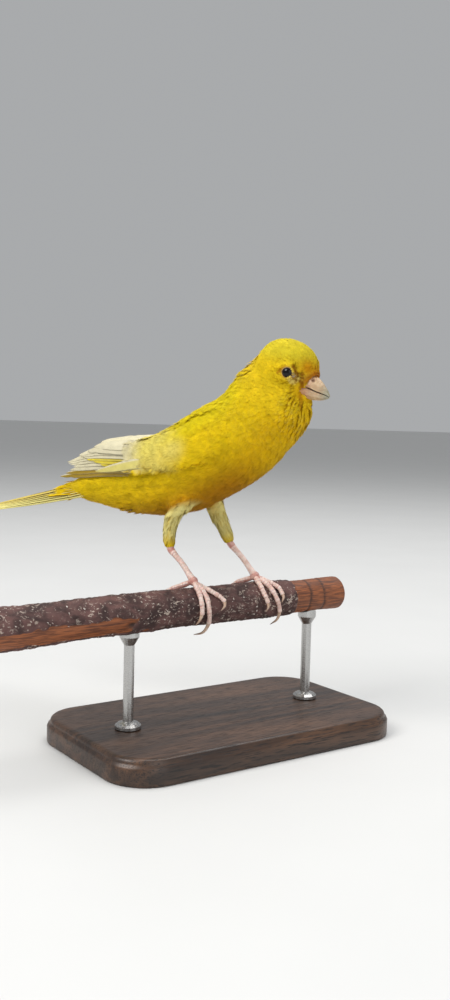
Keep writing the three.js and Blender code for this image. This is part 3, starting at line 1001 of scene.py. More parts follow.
@dataclass(frozen=True)
class BranchLine:
    """The branch that the bird stands on."""

    height: float = 45.0
    radius: float = 6.2
    turn: float = BRANCH_TURN
    ends: tuple = (-84.0, 49.0)
    sag: float = 1.5
    bark_end: float = 27.0
    bark_thick: float = 0.5
    bevel: float = 0.7

    def axes(self) -> tuple[Array, Array, Array]:
        """The directions along the branch, forwards across it, and up."""
        turn = math.radians(self.turn)
        along = np.array([math.cos(turn), math.sin(turn), 0])
        return along, np.array([math.sin(turn), -math.cos(turn), 0]), np.array([0, 0, 1.0])

    def about(self, along: Number, angle: Number, reach: Number) -> Array:
        """Places about the middle line.

        Args:
            along: how far along the branch.
            angle: in degrees, from the top forwards and down.
            reach: how far from the middle line.

        Returns:
            The points.
        """
        run, ahead, up = self.axes()
        along, angle, reach = np.broadcast_arrays(np.asarray(along, float), np.radians(angle), reach)
        low = self.sag * (np.minimum(0, along + 10) / (self.ends[0] + 10)) ** 2
        place = run * along[..., None] + ahead * (reach * np.sin(angle))[..., None]
        return place + up * (self.height - low + reach * np.cos(angle))[..., None]


BRANCH = BranchLine()


@dataclass(frozen=True)
class Course:
    """The line from the bill through head and trunk to the tail, which the feathers follow."""

    points: tuple = (
        (30.5, -1.6, 118.0), (21.2, -0.6, 121.0), (18.2, 0, 116.0), (15.2, 0, 112.0), (11.5, 0, 107.1),
        (5.7, 0, 101.3), (-2.7, 0, 96.4), (-13.2, 0, 91.0), (-24.0, 0, 86.8), (-34.0, 0, 84.1),
        (-43.0, 0, 82.5), (-51.7, 0, 81.5), (-60.0, 0, 80.7), (-68.5, 0, 79.2), (-79.0, 0, 77.4),
    )
    steps: int = 160

    def locate(self, places: Array) -> tuple[Array, Array, Array]:
        """Where places lie along the line.

        Args:
            places: points of the body, one a row.

        Returns:
            The share of the line at the nearest point, the line's direction there, and the offset from it.
        """
        line = Spline(self.points).even(self.steps)
        ahead = unit(np.gradient(line, axis=0))
        index, _ = Spots(line).nearest(places)
        return index / (self.steps - 1), ahead[index], places - line[index]


@dataclass(frozen=True)
class Leg:
    """The lines of one leg and its toes, in millimetres and degrees.

    Each toe runs through places given along the branch from the foot, round the branch from its top forwards,
    and off its bark.
    """

    side: str
    thigh: tuple
    toes: dict
    foot_at: float
    ankle: tuple
    shank_radius: float = 0.92
    toe_radius: float = 0.92
    heel_rise: float = 2.2
    heel_radius: float = 1.6
    pads: int = 4

    def heel(self) -> Array:
        """The point above the branch where the toes part."""
        return BRANCH.about(self.foot_at, 0, BRANCH.radius + self.heel_rise)

    def shank(self) -> Spline:
        """Draws the middle line from the ankle to the heel, begun a little inside the thigh.

        Returns:
            The line.
        """
        ankle, heel = np.array(self.ankle), self.heel()
        middle = lerp(ankle, heel, 0.5) + np.array([0.25, 0, 0.25])
        inside = lerp(ankle, np.array(self.thigh[-1]), 0.6)
        return Spline((tuple(inside), tuple(ankle), tuple(middle), tuple(heel)))

    def toe(self, name: str) -> tuple[Spline, float]:
        """Draws the middle line of a toe with its claw.

        Args:
            name: the toe.

        Returns:
            The line, and the share of it that is toe.
        """
        points = [
            tuple(BRANCH.about(self.foot_at + along, angle, BRANCH.radius + self.toe_radius + off))
            for along, angle, off in self.toes[name]
        ]
        whole = Spline((tuple(self.heel()), *points))
        bare = Spline((tuple(self.heel()), *points[:-2]))
        return whole, bare.length() / whole.length()

    def toe_reach(self, along: Array) -> Array:
        """The radius of a toe at shares of its length: narrower to the claw, fuller at each pad."""
        return self.toe_radius * (1 - 0.22 * along) * (1 + 0.07 * np.cos(2 * math.pi * self.pads * along))


LEGS = (
    Leg(
        side="right",
        thigh=((-5.5, -6, 85), (-12.2, -8.6, 78.5), (-15.3, -9.5, 72), (-16.1, -9.8, 67)),
        ankle=(-15.3, -10.1, 63.4),
        foot_at=-12.5,
        toes={
            "hallux": (
                (-1.5, -14, 0.4), (-4, -30, 0), (-6.9, -52, 0), (-8.2, -76, 0), (-8.8, -92, 0.5),
                (-9, -108, 1.6),
            ),
            "inner": (
                (0.8, 16, 0.4), (3.6, 38, 0), (6.6, 60, 0), (7.7, 72, 0.1), (7.4, 84, 0.6),
                (6.1, 95, 0.5),
            ),
            "middle": (
                (0.5, 22, 0.4), (1.3, 58, 0), (1.6, 90, 0), (2.4, 128, 0.5), (1.2, 150, 1.9),
                (-0.4, 170, 2),
            ),
            "outer": (
                (-0.5, 18, 0.4), (-0.9, 50, 0), (-1, 76, 0), (-1, 100, 0), (-1.8, 114, 0.6), (-3, 126, 1),
            ),
        },
    ),
    Leg(
        side="left",
        thigh=((-10, 6, 84), (-9, 8.2, 77.5), (-6.6, 8.7, 71.5), (-4.6, 8.9, 67.8)),
        ankle=(-3.2, 9.2, 64.3),
        foot_at=12.5,
        toes={
            "hallux": (
                (-1.2, -10, 0.4), (-4, -27, 0), (-5.4, -52, 0), (-6.2, -76, 0), (-6.7, -92, 0.5),
                (-7, -108, 1.6),
            ),
            "inner": (
                (-0.6, 18, 0.4), (-0.8, 44, 0), (-0.5, 66, 0), (0.4, 86, 0), (0.3, 98, 0.6),
                (-0.6, 108, 0.9),
            ),
            "middle": (
                (1, 16, 0.4), (2.6, 42, 0), (4.2, 78, 0), (6, 116, 0.1), (5.6, 136, 1.2), (4.4, 156, 1.7),
            ),
            "outer": (
                (2, 14, 0.4), (4.4, 32, 0), (6.3, 50, 0), (6.9, 68, 0), (6.7, 78, 0.6), (5.8, 90, 0.7),
            ),
        },
    ),
)


@dataclass(frozen=True)
class WingPanel:
    """The curved panel that a folded wing lies on, between its upper and its lower edge."""

    side: int
    upper: Spline = Spline(
        (
            (9, -11.5, 107.5), (-1, -11.6, 108.4), (-12, -10.6, 104.8), (-24, -8.8, 101),
            (-36, -6.8, 98.8), (-47, -5.2, 97), (-58, -4.2, 92.6), (-66, -3.6, 88.6),
        )
    )
    lower: Spline = Spline(
        (
            (13, -13.2, 98), (3, -16, 91.6), (-9, -16.6, 88.4), (-21, -15.2, 87.8), (-33, -12.8, 87.8),
            (-45, -10.2, 86.8), (-56, -8, 85.2), (-66, -6.2, 83.6),
        )
    )
    bulge: float = 2.4

    def _place(self, along: float, down: float) -> Array:
        """Finds a place on the right wing's panel.

        Args:
            along: from 0 at the bend of the wing to 1 at its tip.
            down: from 0 at the upper edge to 1 at the lower one.

        Returns:
            The place.
        """
        upper, lower = self.upper.at(along), self.lower.at(along)
        back = self.upper.at(min(1, along + 0.02)) - self.upper.at(max(0, along - 0.02))
        out = unit(np.cross(lower - upper, back))
        out = -out if out[1] > 0 else out
        swell = self.bulge * math.sin(math.pi * min(1, max(0, down))) * (1 - 0.6 * along)
        return lerp(upper, lower, down) + out * swell

    def at(self, along: float, down: float, out: float = 0.0) -> tuple[Array, Array, Array]:
        """A place on the panel.

        Args:
            along: from 0 at the bend of the wing to 1 at its tip.
            down: from 0 at the upper edge to 1 at the lower one.
            out: millimetres outside the panel.

        Returns:
            The place, the direction down across the panel and the direction out of it.
        """
        share = min(0.99, max(0.01, along))
        across = unit(self._place(share, down + 0.02) - self._place(share, down - 0.02))
        back = unit(self._place(share + 0.01, down) - self._place(share - 0.01, down))
        outward = unit(np.cross(across, back))
        outward = -outward if outward[1] > 0 else outward
        middle = self._place(share, down) + outward * out
        mirror = np.array([1, -self.side, 1])
        return middle * mirror, across * mirror, outward * mirror


@dataclass(frozen=True)
class Plume:
    """One kind of small feather, in millimetres.

    spacing is the distance between roots, rise how far the tip stands over the skin, draw how far the strands
    are drawn together into a point, ruffle how unevenly they lie, and pale how far the tips are bleached.
    """

    spacing: float
    length: float
    width: float
    rise: float
    draw: float = 0.0
    ruffle: float = 0.06
    pale: float = 0.05


class Area(Enum):
    """The areas of the coat, each with its kind of feather."""

    BODY = Plume(0.98, 6.4, 3.1, 1.4)
    RUMP = Plume(1.02, 7.0, 2.8, 1.15)
    TAIL = Plume(0.8, 11.5, 2.2, 0.45, 0.25, 0.05, 0.35)
    COVERT = Plume(1.05, 6.2, 3.2, 0.7, 0.0, 0.04)
    NECK = Plume(0.8, 4.6, 2.2, 1.2, 0.08, 0.08, 0.12)
    HEAD = Plume(0.64, 2.7, 1.45, 0.85, 0.05)
    NAPE = Plume(0.8, 5.0, 2.0, 1.45, 0.4, 0.26, 0.85)
    THROAT = Plume(0.72, 4.4, 1.45, 1.05, 0.62, 0.2, 0.35)
    VENT = Plume(0.9, 6.4, 1.6, 1.7, 0.6, 0.22)
    THIGH = Plume(0.62, 5.6, 0.8, 0.75, 0.6, 0.14, 0.3)
    CUFF = Plume(0.5, 2.4, 0.7, 0.4, 0.4, 0.08)
    FACE = Plume(0.42, 1.35, 0.75, 0.36)


class CoatPlan:
    """Which kind of feather grows where, and which way it lies."""

    vent = (-31.0, 0.0, 75.0)
    throat = (9.8, 0.0, -10.2)
    panel_grid = (50, 14)
    thigh_steps = 30
    thigh_reach = (5.3, 4.1)
    thigh_aside = (4.4, 6.2)
    thigh_below = (73.5, 71)
    thigh_top = (77.8, 75.8)
    thigh_slant = 0.7
    least_swell = 0.25
    trunk_swell = 0.95
    tail_sink = 0.8
    bill_lie = (10, 26)

    def __init__(self, course: Course, panels: tuple[WingPanel, ...]):
        """Lays spots over the wings' panels and along the thighs, to find what lies near them.

        Args:
            course: the line that the feathers follow.
            panels: the wings' panels.
        """
        self.course = course
        self.panels = panels
        self.eyes = np.array([eye_middle(side) for side in SIDES])
        alongs, downs = (np.linspace(0.0, 1.0, count) for count in self.panel_grid)
        grid = [(along, down) for along in alongs for down in downs]
        self.wing_spots = Spots(np.array([panel.at(*spot)[0] for panel in panels for spot in grid]))
        self.wing_grid = np.array([spot for _ in panels for spot in grid])
        self.wing_outward = np.array([panel.at(*spot)[2] for panel in panels for spot in grid])
        thighs = [Spline((*leg.thigh, leg.ankle)).even(self.thigh_steps) for leg in LEGS]
        self.thigh_line = np.concatenate(thighs)
        self.thigh_spots = Spots(self.thigh_line)
        self.thigh_ways = np.concatenate([unit(np.gradient(path, axis=0)) for path in thighs])

    def on_wing(self, places: Array) -> tuple[Array, Array, Array]:
        """How far along and down a wing's panel each place is, and how far off the panel."""
        index, away = self.wing_spots.nearest(places)
        return (*self.wing_grid[index].T, away)

    def facing(self, places: Array, normals: Array) -> Array:
        """How far each place's surface faces the way the wing's panel beside it does, from -1 to 1."""
        index, _ = self.wing_spots.nearest(places)
        return (self.wing_outward[index] * normals).sum(-1)

    def on_thigh(self, places: Array) -> Array:
        """Finds how far each place belongs to a thigh that stands clear of the belly.

        Args:
            places: points of the body, one a row.

        Returns:
            The share at each.
        """
        index, away = self.thigh_spots.nearest(places)
        aside = ease(*self.thigh_aside, np.abs(places[:, 1]))
        outside = np.maximum(aside, ease(*self.thigh_below, places[:, 2]))
        height = places[:, 2] - self.thigh_slant * (places[:, 0] - self.thigh_line[index, 0])
        return ease(*self.thigh_reach, away) * ease(*self.thigh_top, height) * outside

    def shares(self, places: Array) -> Array:
        """How far each place belongs to each area.

        Args:
            places: points of the body, one a row.

        Returns:
            One row a place and one column an area, each row adding up to one.
        """
        head = HEAD.into(places)
        from_head = np.linalg.norm(head, axis=1)
        from_bill = np.linalg.norm(places - BILL_BASE, axis=1)
        from_eye = np.linalg.norm(places[:, None] - self.eyes[None], axis=2).min(1)
        ankles = np.array([leg.ankle for leg in LEGS])
        from_ankle = np.linalg.norm(places[:, None] - ankles[None], axis=2).min(1)
        from_throat = np.linalg.norm((head - self.throat) * [1, 0.8, 0.8], axis=1)
        along, down, off_wing = self.on_wing(places)
        overlays = {
            Area.RUMP: ease(-38, -48, places[:, 0]),
            Area.TAIL: ease(-48, -56, places[:, 0]),
            Area.COVERT: ease(3.4, 2.2, off_wing) * ease(0.02, 0.14, along) * ease(1, 0.94, down),
            Area.VENT: ease(6.5, 2.5, np.linalg.norm((places - self.vent) * [1, 0.5, 1], axis=1)),
            Area.NECK: ease(27, 18, from_head),
            Area.HEAD: ease(16, 12.5, from_head),
            Area.NAPE: ease(-5.5, -9.5, head[:, 0]) * ease(22, 15, from_head) * ease(-6, 0, head[:, 2]),
            Area.THROAT: ease(7.4, 4.6, from_throat),
            Area.THIGH: self.on_thigh(places),
            Area.CUFF: ease(5.5, 2.5, from_ankle),
            Area.FACE: np.maximum(ease(6.4, 4.6, from_bill), ease(4.4, 2.9, from_eye)),
        }
        areas = list(Area)
        shares = np.zeros((len(places), len(areas)))
        shares[:, areas.index(Area.BODY)] = 1
        for area, share in overlays.items():
            shares *= 1 - share[:, None]
            shares[:, areas.index(area)] += share
        return shares

    def measure(self, shares: Array, name: str) -> Array:
        """One measure of the feathers at each place, blended over the areas."""
        return shares @ np.array([getattr(area.value, name) for area in Area])

    def swell(self, places: Array) -> Array:
        """Finds how far the flesh is swollen before its forms are joined, to fill the grooves between them.

        Args:
            places: points of the body, one a row.

        Returns:
            The millimetres at each.
        """
        trunk = ease(11, 16, np.linalg.norm(HEAD.into(places), axis=1)) * ease(73, 77, places[:, 2])
        along, _, off_wing = self.on_wing(places)
        sheet = ease(0.3, 0.4, along) * ease(5, 3.5, off_wing)
        return self.least_swell + self.trunk_swell * trunk * ease(-62, -50, places[:, 0]) * (1 - sheet)

    def sink(self, places: Array) -> Array:
        """How much deeper the skin lies where the tail's long feathers take over from small ones."""
        return self.tail_sink * ease(-55, -61, places[:, 0])

    def lie(self, places: Array) -> Array:
        """Finds the way the feathers point: back from the bill, along the trunk and down the thighs.

        Args:
            places: points of the body, one a row.

        Returns:
            The direction at each.
        """
        _, ahead, _ = self.course.locate(places)
        from_bill = places - BILL_BASE
        away = np.linalg.norm(from_bill, axis=1)
        way = unit(blend(unit(from_bill), ahead, ease(*self.bill_lie, away)))
        index, _ = self.thigh_spots.nearest(places)
        return unit(blend(way, self.thigh_ways[index], self.on_thigh(places)))


@dataclass(frozen=True)
class Crease:
    """A line of painted shade in a fold between feathers, the same on both sides.

    Its points are given in the head's frame where it lies on the head, and in the model's elsewhere.
    """

    points: tuple
    width: float
    depth: float
    on_head: bool = True


class Markings:
    """The bird's colours by place, which its skin and its coat share."""

    # Painted shade in the folds between feathers: round the eye, at the bill, down the throat and at the
    # flank
    creases = (
        Crease(((6.9, 6.6, 2.7), (8.0, 6.1, 1.0), (8.9, 5.4, -0.5)), 0.42, 0.9),
        Crease(((1.6, 8.4, -0.2), (2.9, 8.1, 0.3), (4.1, 7.8, 1.0)), 0.4, 0.8),
        Crease(((6.8, 6.8, -0.3), (7.7, 6.3, -1.0), (8.5, 5.6, -1.8)), 0.32, 0.8),
        Crease(((8.4, 5.4, -2.3), (8.8, 5.0, -3.2), (8.9, 4.4, -4.2)), 0.42, 0.95),
        Crease(((8.5, 4.6, -4.4), (9.2, 4.2, -7.0), (10.2, 3.4, -10.2)), 0.42, 0.75),
        Crease(((7.0, 5.8, -4.8), (7.2, 5.3, -7.2), (7.8, 4.6, -10.0)), 0.36, 0.6),
        Crease(((-27.6, 10.9, 81.6), (-30.6, 9.9, 79.2), (-33.9, 8.4, 77.8)), 0.6, 0.4, on_head=False),
    )
    crease_steps = 14
    # A painted shadow along the slit where the scapulars overlay each wing
    shadow_slit = (np.array([0.23, 0.38]), np.array([0.15, 0.3]))
    shadow_slit_steps = 12
    # Where a painted highlight lies on each wing, along and down the panel, and how far it reaches
    highlight_spot = (0.3, 0.54)
    highlight_reach = (6.5, 1.0)
    shadow_slit_width = (1.5, 0.4)
    shadow_slit_depth = 0.8
    shadow = (0.44, 0.27, 0.12)
    buried = 0.5
    bright_above = (2, 10)
    golden_below = (1, -10)
    brown_and_shade_below = (-6, -14)
    brown_and_shade_behind = (20, 4)
    head_edge = (20, 12)
    foreheads = (((10.8, 0, 1.4), (3.6, 5.0, 3.4)), ((9.8, 3.6, 2.4), (2.8, 3.2, 2.9)))
    lore = ((9.0, 5.6, -1.8), (1.8, 2.2, 1.9))
    below_eye = (0.87, -0.5)
    ring_reach = (3.0, 4.8)
    ring_edge = -0.9

    def __init__(self, plan: CoatPlan):
        """Finds the spots on the wings that the painted shadow slit and the painted highlight are measured
        from.

        Args:
            plan: the plan of the coat.
        """
        self.plan = plan
        self.lines: list[Spots] = []
        steps = np.linspace(0, 1, self.shadow_slit_steps)
        shadow_slits = [panel.at(*lerp(*self.shadow_slit, step))[0] for panel in plan.panels for step in steps]
        self.shadow_slit_spots = Spots(np.array(shadow_slits))
        self.highlight_spots = np.array([panel.at(*self.highlight_spot)[0] for panel in plan.panels])

    def draw_on(self, surface: Surface) -> None:
        """Draws the dark lines on both sides of a surface.

        Args:
            surface: the skin, before or after it is drawn in under the coat.
        """
        self.lines = []
        for crease in self.creases:
            line = Spline(crease.points).even(self.crease_steps)
            both = np.concatenate([line, line * [1, -1, 1]])
            both = HEAD.out(both) if crease.on_head else both
            self.lines.append(Spots(surface.nearest(both)[0]))

    def grooves(self, places: Array) -> Array:
        """Finds how deep in a line of painted shade each place lies: a crease, or the slit where the
        scapulars overlay the wing.

        Args:
            places: points of the body, one a row.

        Returns:
            The depth at each, from 0 to 1.
        """
        deepest = np.zeros(len(places))
        for crease, line in zip(self.creases, self.lines):
            away = np.sqrt(np.maximum(0, line.nearest(places)[1] ** 2 - self.buried**2))
            share = crease.depth * ease(2.0 * crease.width, 0.6 * crease.width, away)
            deepest = np.maximum(deepest, share)
        shadow_slit = self.shadow_slit_depth * ease(*self.shadow_slit_width, self.shadow_slit_spots.nearest(places)[1])
        return np.maximum(deepest, shadow_slit)

    def _trunk(self, places: Array) -> Array:
        """Colours trunk and neck: bright above, golden on the breast and brownish on the belly, partly the
        belly's own colour and partly painted shade.

        Args:
            places: points of the body, one a row.

        Returns:
            The colours, one a row.
        """
        _, ahead, offset = self.plan.course.locate(places)
        upward = in_plane(np.broadcast_to([0.0, 0, 1.0], ahead.shape), ahead)
        rise = (offset * upward).sum(-1)
        tone = np.tile(Hue.LEMON.light, (len(places), 1))
        tone = blend(tone, Hue.BACK.light, ease(*self.bright_above, rise))
        tone = blend(tone, Hue.BREAST.light, ease(*self.golden_below, rise))
        # Painted shade: the underside is darkened towards brown, over the belly's own deeper yellow
        brown = ease(*self.brown_and_shade_below, rise) * ease(*self.brown_and_shade_behind, places[:, 0])
        return blend(tone, Hue.BELLY.light, brown)

    def _face(self, tone: Array, places: Array) -> Array:
        """Lays the head's own colours over the trunk's: amber forehead and a pale ring at the eye.

        Args:
            tone: the trunk's colours, one a row.
            places: points of the body, one a row.

        Returns:
            The colours, one a row.
        """
        head = HEAD.into(places)
        on_head = ease(*self.head_edge, np.linalg.norm(head, axis=1))
        # Painted light: the head takes a brightened yellow, as the lamps leave the cheek dim
        tone = blend(tone, Hue.CHEEK.light, on_head * 0.85)
        tone = blend(tone, Hue.CROWN.light, on_head * ease(1, 6, head[:, 2]))
        forehead = np.maximum(*(self._spot(head, *spot) for spot in self.foreheads))
        tone = blend(tone, Hue.AMBER.light, forehead * on_head)
        tone = blend(tone, Hue.LORE.light, 0.8 * self._spot(head, *self.lore) * on_head)
        index, from_eye = Spots(self.plan.eyes).nearest(places)
        off_eye = head - HEAD.into(self.plan.eyes)[index]
        ahead, up = self.below_eye
        forward = (ahead * off_eye[:, 0] + up * off_eye[:, 2]) / np.maximum(from_eye, 0.1)
        reach = lerp(*self.ring_reach, ease(0.7, 0.97, forward))
        ring = ease(0.0, self.ring_edge, from_eye - reach) * (0.25 + 0.4 * ease(0.4, 0.9, forward))
        tone = blend(tone, Hue.EYE_PATCH.light, ring)
        base = ease(5.9, 4.5, np.linalg.norm(places - BILL_BASE, axis=1)) * ease(-3.2, -1.6, head[:, 2])
        return blend(tone, Hue.NARES.light, 0.7 * base)

    def colours(self, places: Array) -> Array:
        """The colour at each place.

        Args:
            places: points of the body, one a row.

        Returns:
            The colours as shares of light, one a row.
        """
        tone = self._face(self._trunk(places), places)
        thigh = self.plan.on_thigh(places)
        tone = blend(tone, Hue.LEMON.light, thigh)
        tone = blend(tone, Hue.THIGH.light, 0.9 * thigh * ease(64, 68.5, places[:, 2]))
        along, down, off_wing = self.plan.on_wing(places)
        below_edge = np.maximum(ease(0, 0.05, down), ease(0.3, 0.4, along))
        on_panel = below_edge * ease(1, 0.93, down) * ease(4, 2, off_wing)
        tone = blend(tone, Hue.PALE.light, 0.62 * ease(0.26, 0.4, along) * on_panel)
        tone = blend(tone, Hue.CREAM.light, 0.85 * ease(0.44, 0.54, along) * on_panel)
        # Painted highlight: a pale patch on the middle of each wing
        from_spot = np.linalg.norm(places[:, None] - self.highlight_spots[None], axis=2).min(1)
        tone = blend(tone, Hue.PALE.light, 0.5 * ease(*self.highlight_reach, from_spot))
        # Painted shade in the creases and along the scapular slit
        return tone * blend(np.ones(3), np.array(self.shadow), self.grooves(places))

    @staticmethod
    def _spot(head: Array, middle: tuple, reach: tuple) -> Array:
        """A soft spot on the head, the same on both sides."""
        mirrored = np.abs(head) * [0, 1, 0] + head * [1, 0, 1]
        return np.exp(-(((mirrored - middle) / reach) ** 2).sum(1))


# The bird


@dataclass
class BodySkin:
    """The skin under the coat: one closed surface over trunk, head, thighs and the fronts of the wings.

    lid_profile holds the rings of an eye's lid: how wide each is and how far it stands off the eyeball.
    """

    plan: CoatPlan
    markings: Markings
    flesh: tuple = ("torso", "neck", "head", "thigh_right", "thigh_left")
    within: tuple = ("eye_right", "eye_left")
    tail_cut: float = -61.0
    pad_end: float = 0.53
    pad_height: float = 0.55
    bill_cut: float = 10.6
    pad_steps: tuple = (36, 25)
    grain: float = 0.5
    rounds: int = 24
    last_rounds: int = 3
    groove: float = 0.7
    shade: tuple = (0.9, 0.79, 0.52)
    lid_profile: tuple = (
        (1.5, -0.1), (1.57, 0.08), (1.67, 0.2), (1.82, 0.22), (2.05, 0.12), (2.4, -0.1), (2.9, -0.5),
    )
    lid_edge: tuple = (1.0, 0.85, 0.3, 0.05, 0, 0, 0)
    lid_steps: int = 72

    def _add(self, whole: bmesh.types.BMesh, node: str, cut: tuple | None = None) -> None:
        """Adds a copy of a node, swollen a little to close the thin gaps.

        Args:
            whole: the form that it is added to.
            node: the node's name.
            cut: a point and a direction past which the copy is cut off.
        """
        form = bmesh.new()
        form.from_mesh(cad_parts[node].data)
        merge_corners(form)
        if cut:
            point, way = Vector(cut[0]) * MM, Vector(cut[1])
            everything = form.verts[:] + form.edges[:] + form.faces[:]
            bmesh.ops.bisect_plane(form, geom=everything, plane_co=point, plane_no=way, clear_outer=True)
            bmesh.ops.holes_fill(form, edges=[edge for edge in form.edges if edge.is_boundary], sides=0)
        form.normal_update()
        places = np.array([vertex.co[:] for vertex in form.verts]) / MM
        for vertex, swell in zip(form.verts, self.plan.swell(places)):
            vertex.co += vertex.normal * float(swell) * MM
        spare = bpy.data.meshes.new("spare")
        form.to_mesh(spare)
        form.free()
        whole.from_mesh(spare)
        bpy.data.meshes.remove(spare)

    def _pad(self, panel: WingPanel) -> Mesh:
        """Makes the flesh of a folded wing, which rises out of the shoulder and thins to a free sheet.

        Args:
            panel: the wing's panel.

        Returns:
            The closed form.
        """
        rings = []
        steps, across = self.pad_steps
        for along in np.linspace(0.0, self.pad_end, steps):
            front, free = float(ease(0.14, 0.0, along)), float(ease(0.24, 0.42, along))
            margin = lerp(0.14, -0.04, free)
            downs = np.linspace(-margin, 1 + margin, across)
            edge = ease(0.8, 1 + 2 * margin, np.abs(downs - 0.5) * 2)
            over = self.pad_height - lerp(3.4, 0.9, free) * edge - 3.0 * front
            under = over - lerp(5.5, 2.2, free) * (1 - 0.5 * free * edge)
            ring = [panel.at(along, down, out)[0] for down, out in zip(downs, over)]
            ring += [panel.at(along, down, out)[0] for down, out in zip(downs[::-1], under[::-1])]
            rings.append(ring)
        mesh = mesh_of("wing_pad", *loft(np.array(rings)))
        face_outwards(mesh)
        return mesh

    def surface(self) -> Mesh:
        """Joins the flesh into one smooth closed surface, out to the tips of the coat.

        Returns:
            The surface.
        """
        whole = bmesh.new()
        for node in self.flesh + self.within:
            self._add(whole, node)
        for panel in self.plan.panels:
            whole.from_mesh(self._pad(panel))
        self._add(whole, "tail", ((self.tail_cut, 0, 0), (-1, 0, 0)))
        ahead = HEAD.turn() @ np.array([1.0, 0, 0])
        for node in ("bill_upper", "bill_lower"):
            self._add(whole, node, (tuple(HEAD.out((self.bill_cut, 0, 0))), tuple(ahead)))
        mesh = bpy.data.meshes.new("body_skin")
        whole.to_mesh(mesh)
        whole.free()
        mesh = remeshed(mesh, self.grain)
        relax(mesh, self.rounds)
        along, _, off_wing = self.plan.on_wing(points_of(mesh))
        relax(mesh, self.rounds, 0.0, ease(7, 4.5, off_wing) * ease(0.42, 0.3, along))
        return mesh

    def _lid(self, side: str, turn: Array) -> Array:
        """Makes the ring of bare skin round one eye, drawn to a corner before and behind.

        Args:
            side: the side of the head.
            turn: the angles round the eye, from the face upwards.

        Returns:
            The rings of points over the skin and back under it.
        """
        look = eye_look(side)
        ahead = in_plane(HEAD.turn() @ np.array([1.0, 0, 0]), look)
        up = np.cross(look, ahead) * -SIDES[side]
        middle, radius = eye_middle(side), eye_radius()
        corner = self._near(turn, -0.35, 0.3)
        corner += 0.8 * np.exp(-(((turn - math.pi) / 0.22) ** 2))
        low = ease(0.0, -1.0, np.sin(turn))
        rings = []
        for index, (reach, lift) in enumerate(self.lid_profile):
            crinkle = 0.03 * np.sin(turn * 19 + index) * min(index, 3) / 3
            wide = reach * (1 + 0.09 * low * index / 3) + 0.22 * corner * (1 if index < 4 else 0.4)
            over_ball = radius**2 - np.minimum(wide, radius - 0.02) ** 2
            height = np.sqrt(np.maximum(over_ball, 0.3)) + lift + crinkle
            flat = ahead * (wide * np.cos(turn))[:, None] + up * (wide * 0.95 * np.sin(turn))[:, None]
            rings.append(middle + flat + look * height[:, None])
        over = np.array(rings)
        under = over[::-1] - look * np.linspace(0.35, 0.12, len(over))[:, None, None]
        return np.concatenate([over, under])

    @staticmethod
    def _near(turn: Array, angle: float, width: float) -> Array:
        """How near each angle round the eye is to this one, from 0 to 1."""
        off = (turn - angle + math.pi) % (2 * math.pi) - math.pi
        return np.exp(-((off / width) ** 2))

    def lids(self) -> tuple[Array, Array, Array]:
        """Makes the rings of bare skin round both eyes.

        Returns:
            The points, the faces and the colours.
        """
        points, faces, colours = [], [], []
        count, base = self.lid_steps, 0
        turn = np.linspace(0, 2 * math.pi, count, endpoint=False)
        for side in SIDES:
            band = self._lid(side, turn)
            ring, place = np.meshgrid(np.arange(len(band)), np.arange(count), indexing="ij")
            here, there = ring * count, (ring + 1) % len(band) * count
            following = (place + 1) % count
            quads = np.stack([here + place, here + following, there + following, there + place], -1)
            points.append(band.reshape(-1, 3))
            faces.append(quads.reshape(-1, 4) + base)
            base += len(points[-1])
            edge = np.array([*self.lid_edge, *self.lid_edge[::-1]])
            front = np.tile(self._near(turn, -0.55, 0.75), len(band))
            tone = blend(Hue.EYELID.light, Hue.EYELID_FRONT.light, front)
            colours.append(blend(tone, Hue.EYELID_EDGE.light, np.repeat(edge, count)))
        return np.concatenate(points), np.concatenate(faces), np.concatenate(colours)

    def build(self, outer: Mesh, finish: Material) -> Object:
        """Draws the skin in under its coat, adds the lids and dresses it.

        Args:
            outer: the surface at the tips of the coat.
            finish: its material.

        Returns:
            The finished piece.
        """
        self.markings.draw_on(Surface(outer))
        points = points_of(outer)
        depth = self.plan.measure(self.plan.shares(points), "rise") + self.plan.swell(points)
        depth += self.plan.sink(points) + self.groove * self.markings.grooves(points)
        move_points(outer, points - normals_of(outer) * depth[:, None])
        relax(outer, self.last_rounds)
        self.markings.draw_on(Surface(outer))
        skin = points_of(outer)
        quads = np.zeros(len(outer.loops), np.int32)
        outer.loops.foreach_get("vertex_index", quads)
        lid_points, lid_faces, lid_colours = self.lids()
        everything = np.concatenate([skin, lid_points])
        whole = mesh_of("body_skin", everything, quads.reshape(-1, 4), lid_faces + len(skin))
        colours = self.markings.colours(skin) * np.array(self.shade)
        paint(whole, np.concatenate([colours, lid_colours]))
        face_outwards(whole)
        return finish_piece(new_object(whole, finish), self.flesh)


@dataclass(frozen=True)
class LaidFeathers:
    """Small feathers laid over the skin, one a row.

    nodes holds the places of each one's stations at its left edge, middle and right edge; ups and sideways
    are the outward and the sideways directions at the stations.
    """

    roots: Array
    shares: Array
    nodes: Array
    ups: Array
    sideways: Array

    def kept(self, which: Array) -> "LaidFeathers":
        """The marked ones alone."""
        parts = (self.roots, self.shares, self.nodes, self.ups, self.sideways)
        return LaidFeathers(*(part[which] for part in parts))


@dataclass(frozen=True)
class Feather:
    """The mesh of one small feather: its points, their facing, tone and spot on the map, and its faces."""

    points: Array
    facing: Array
    tones: Array
    spots: Array
    faces: Array


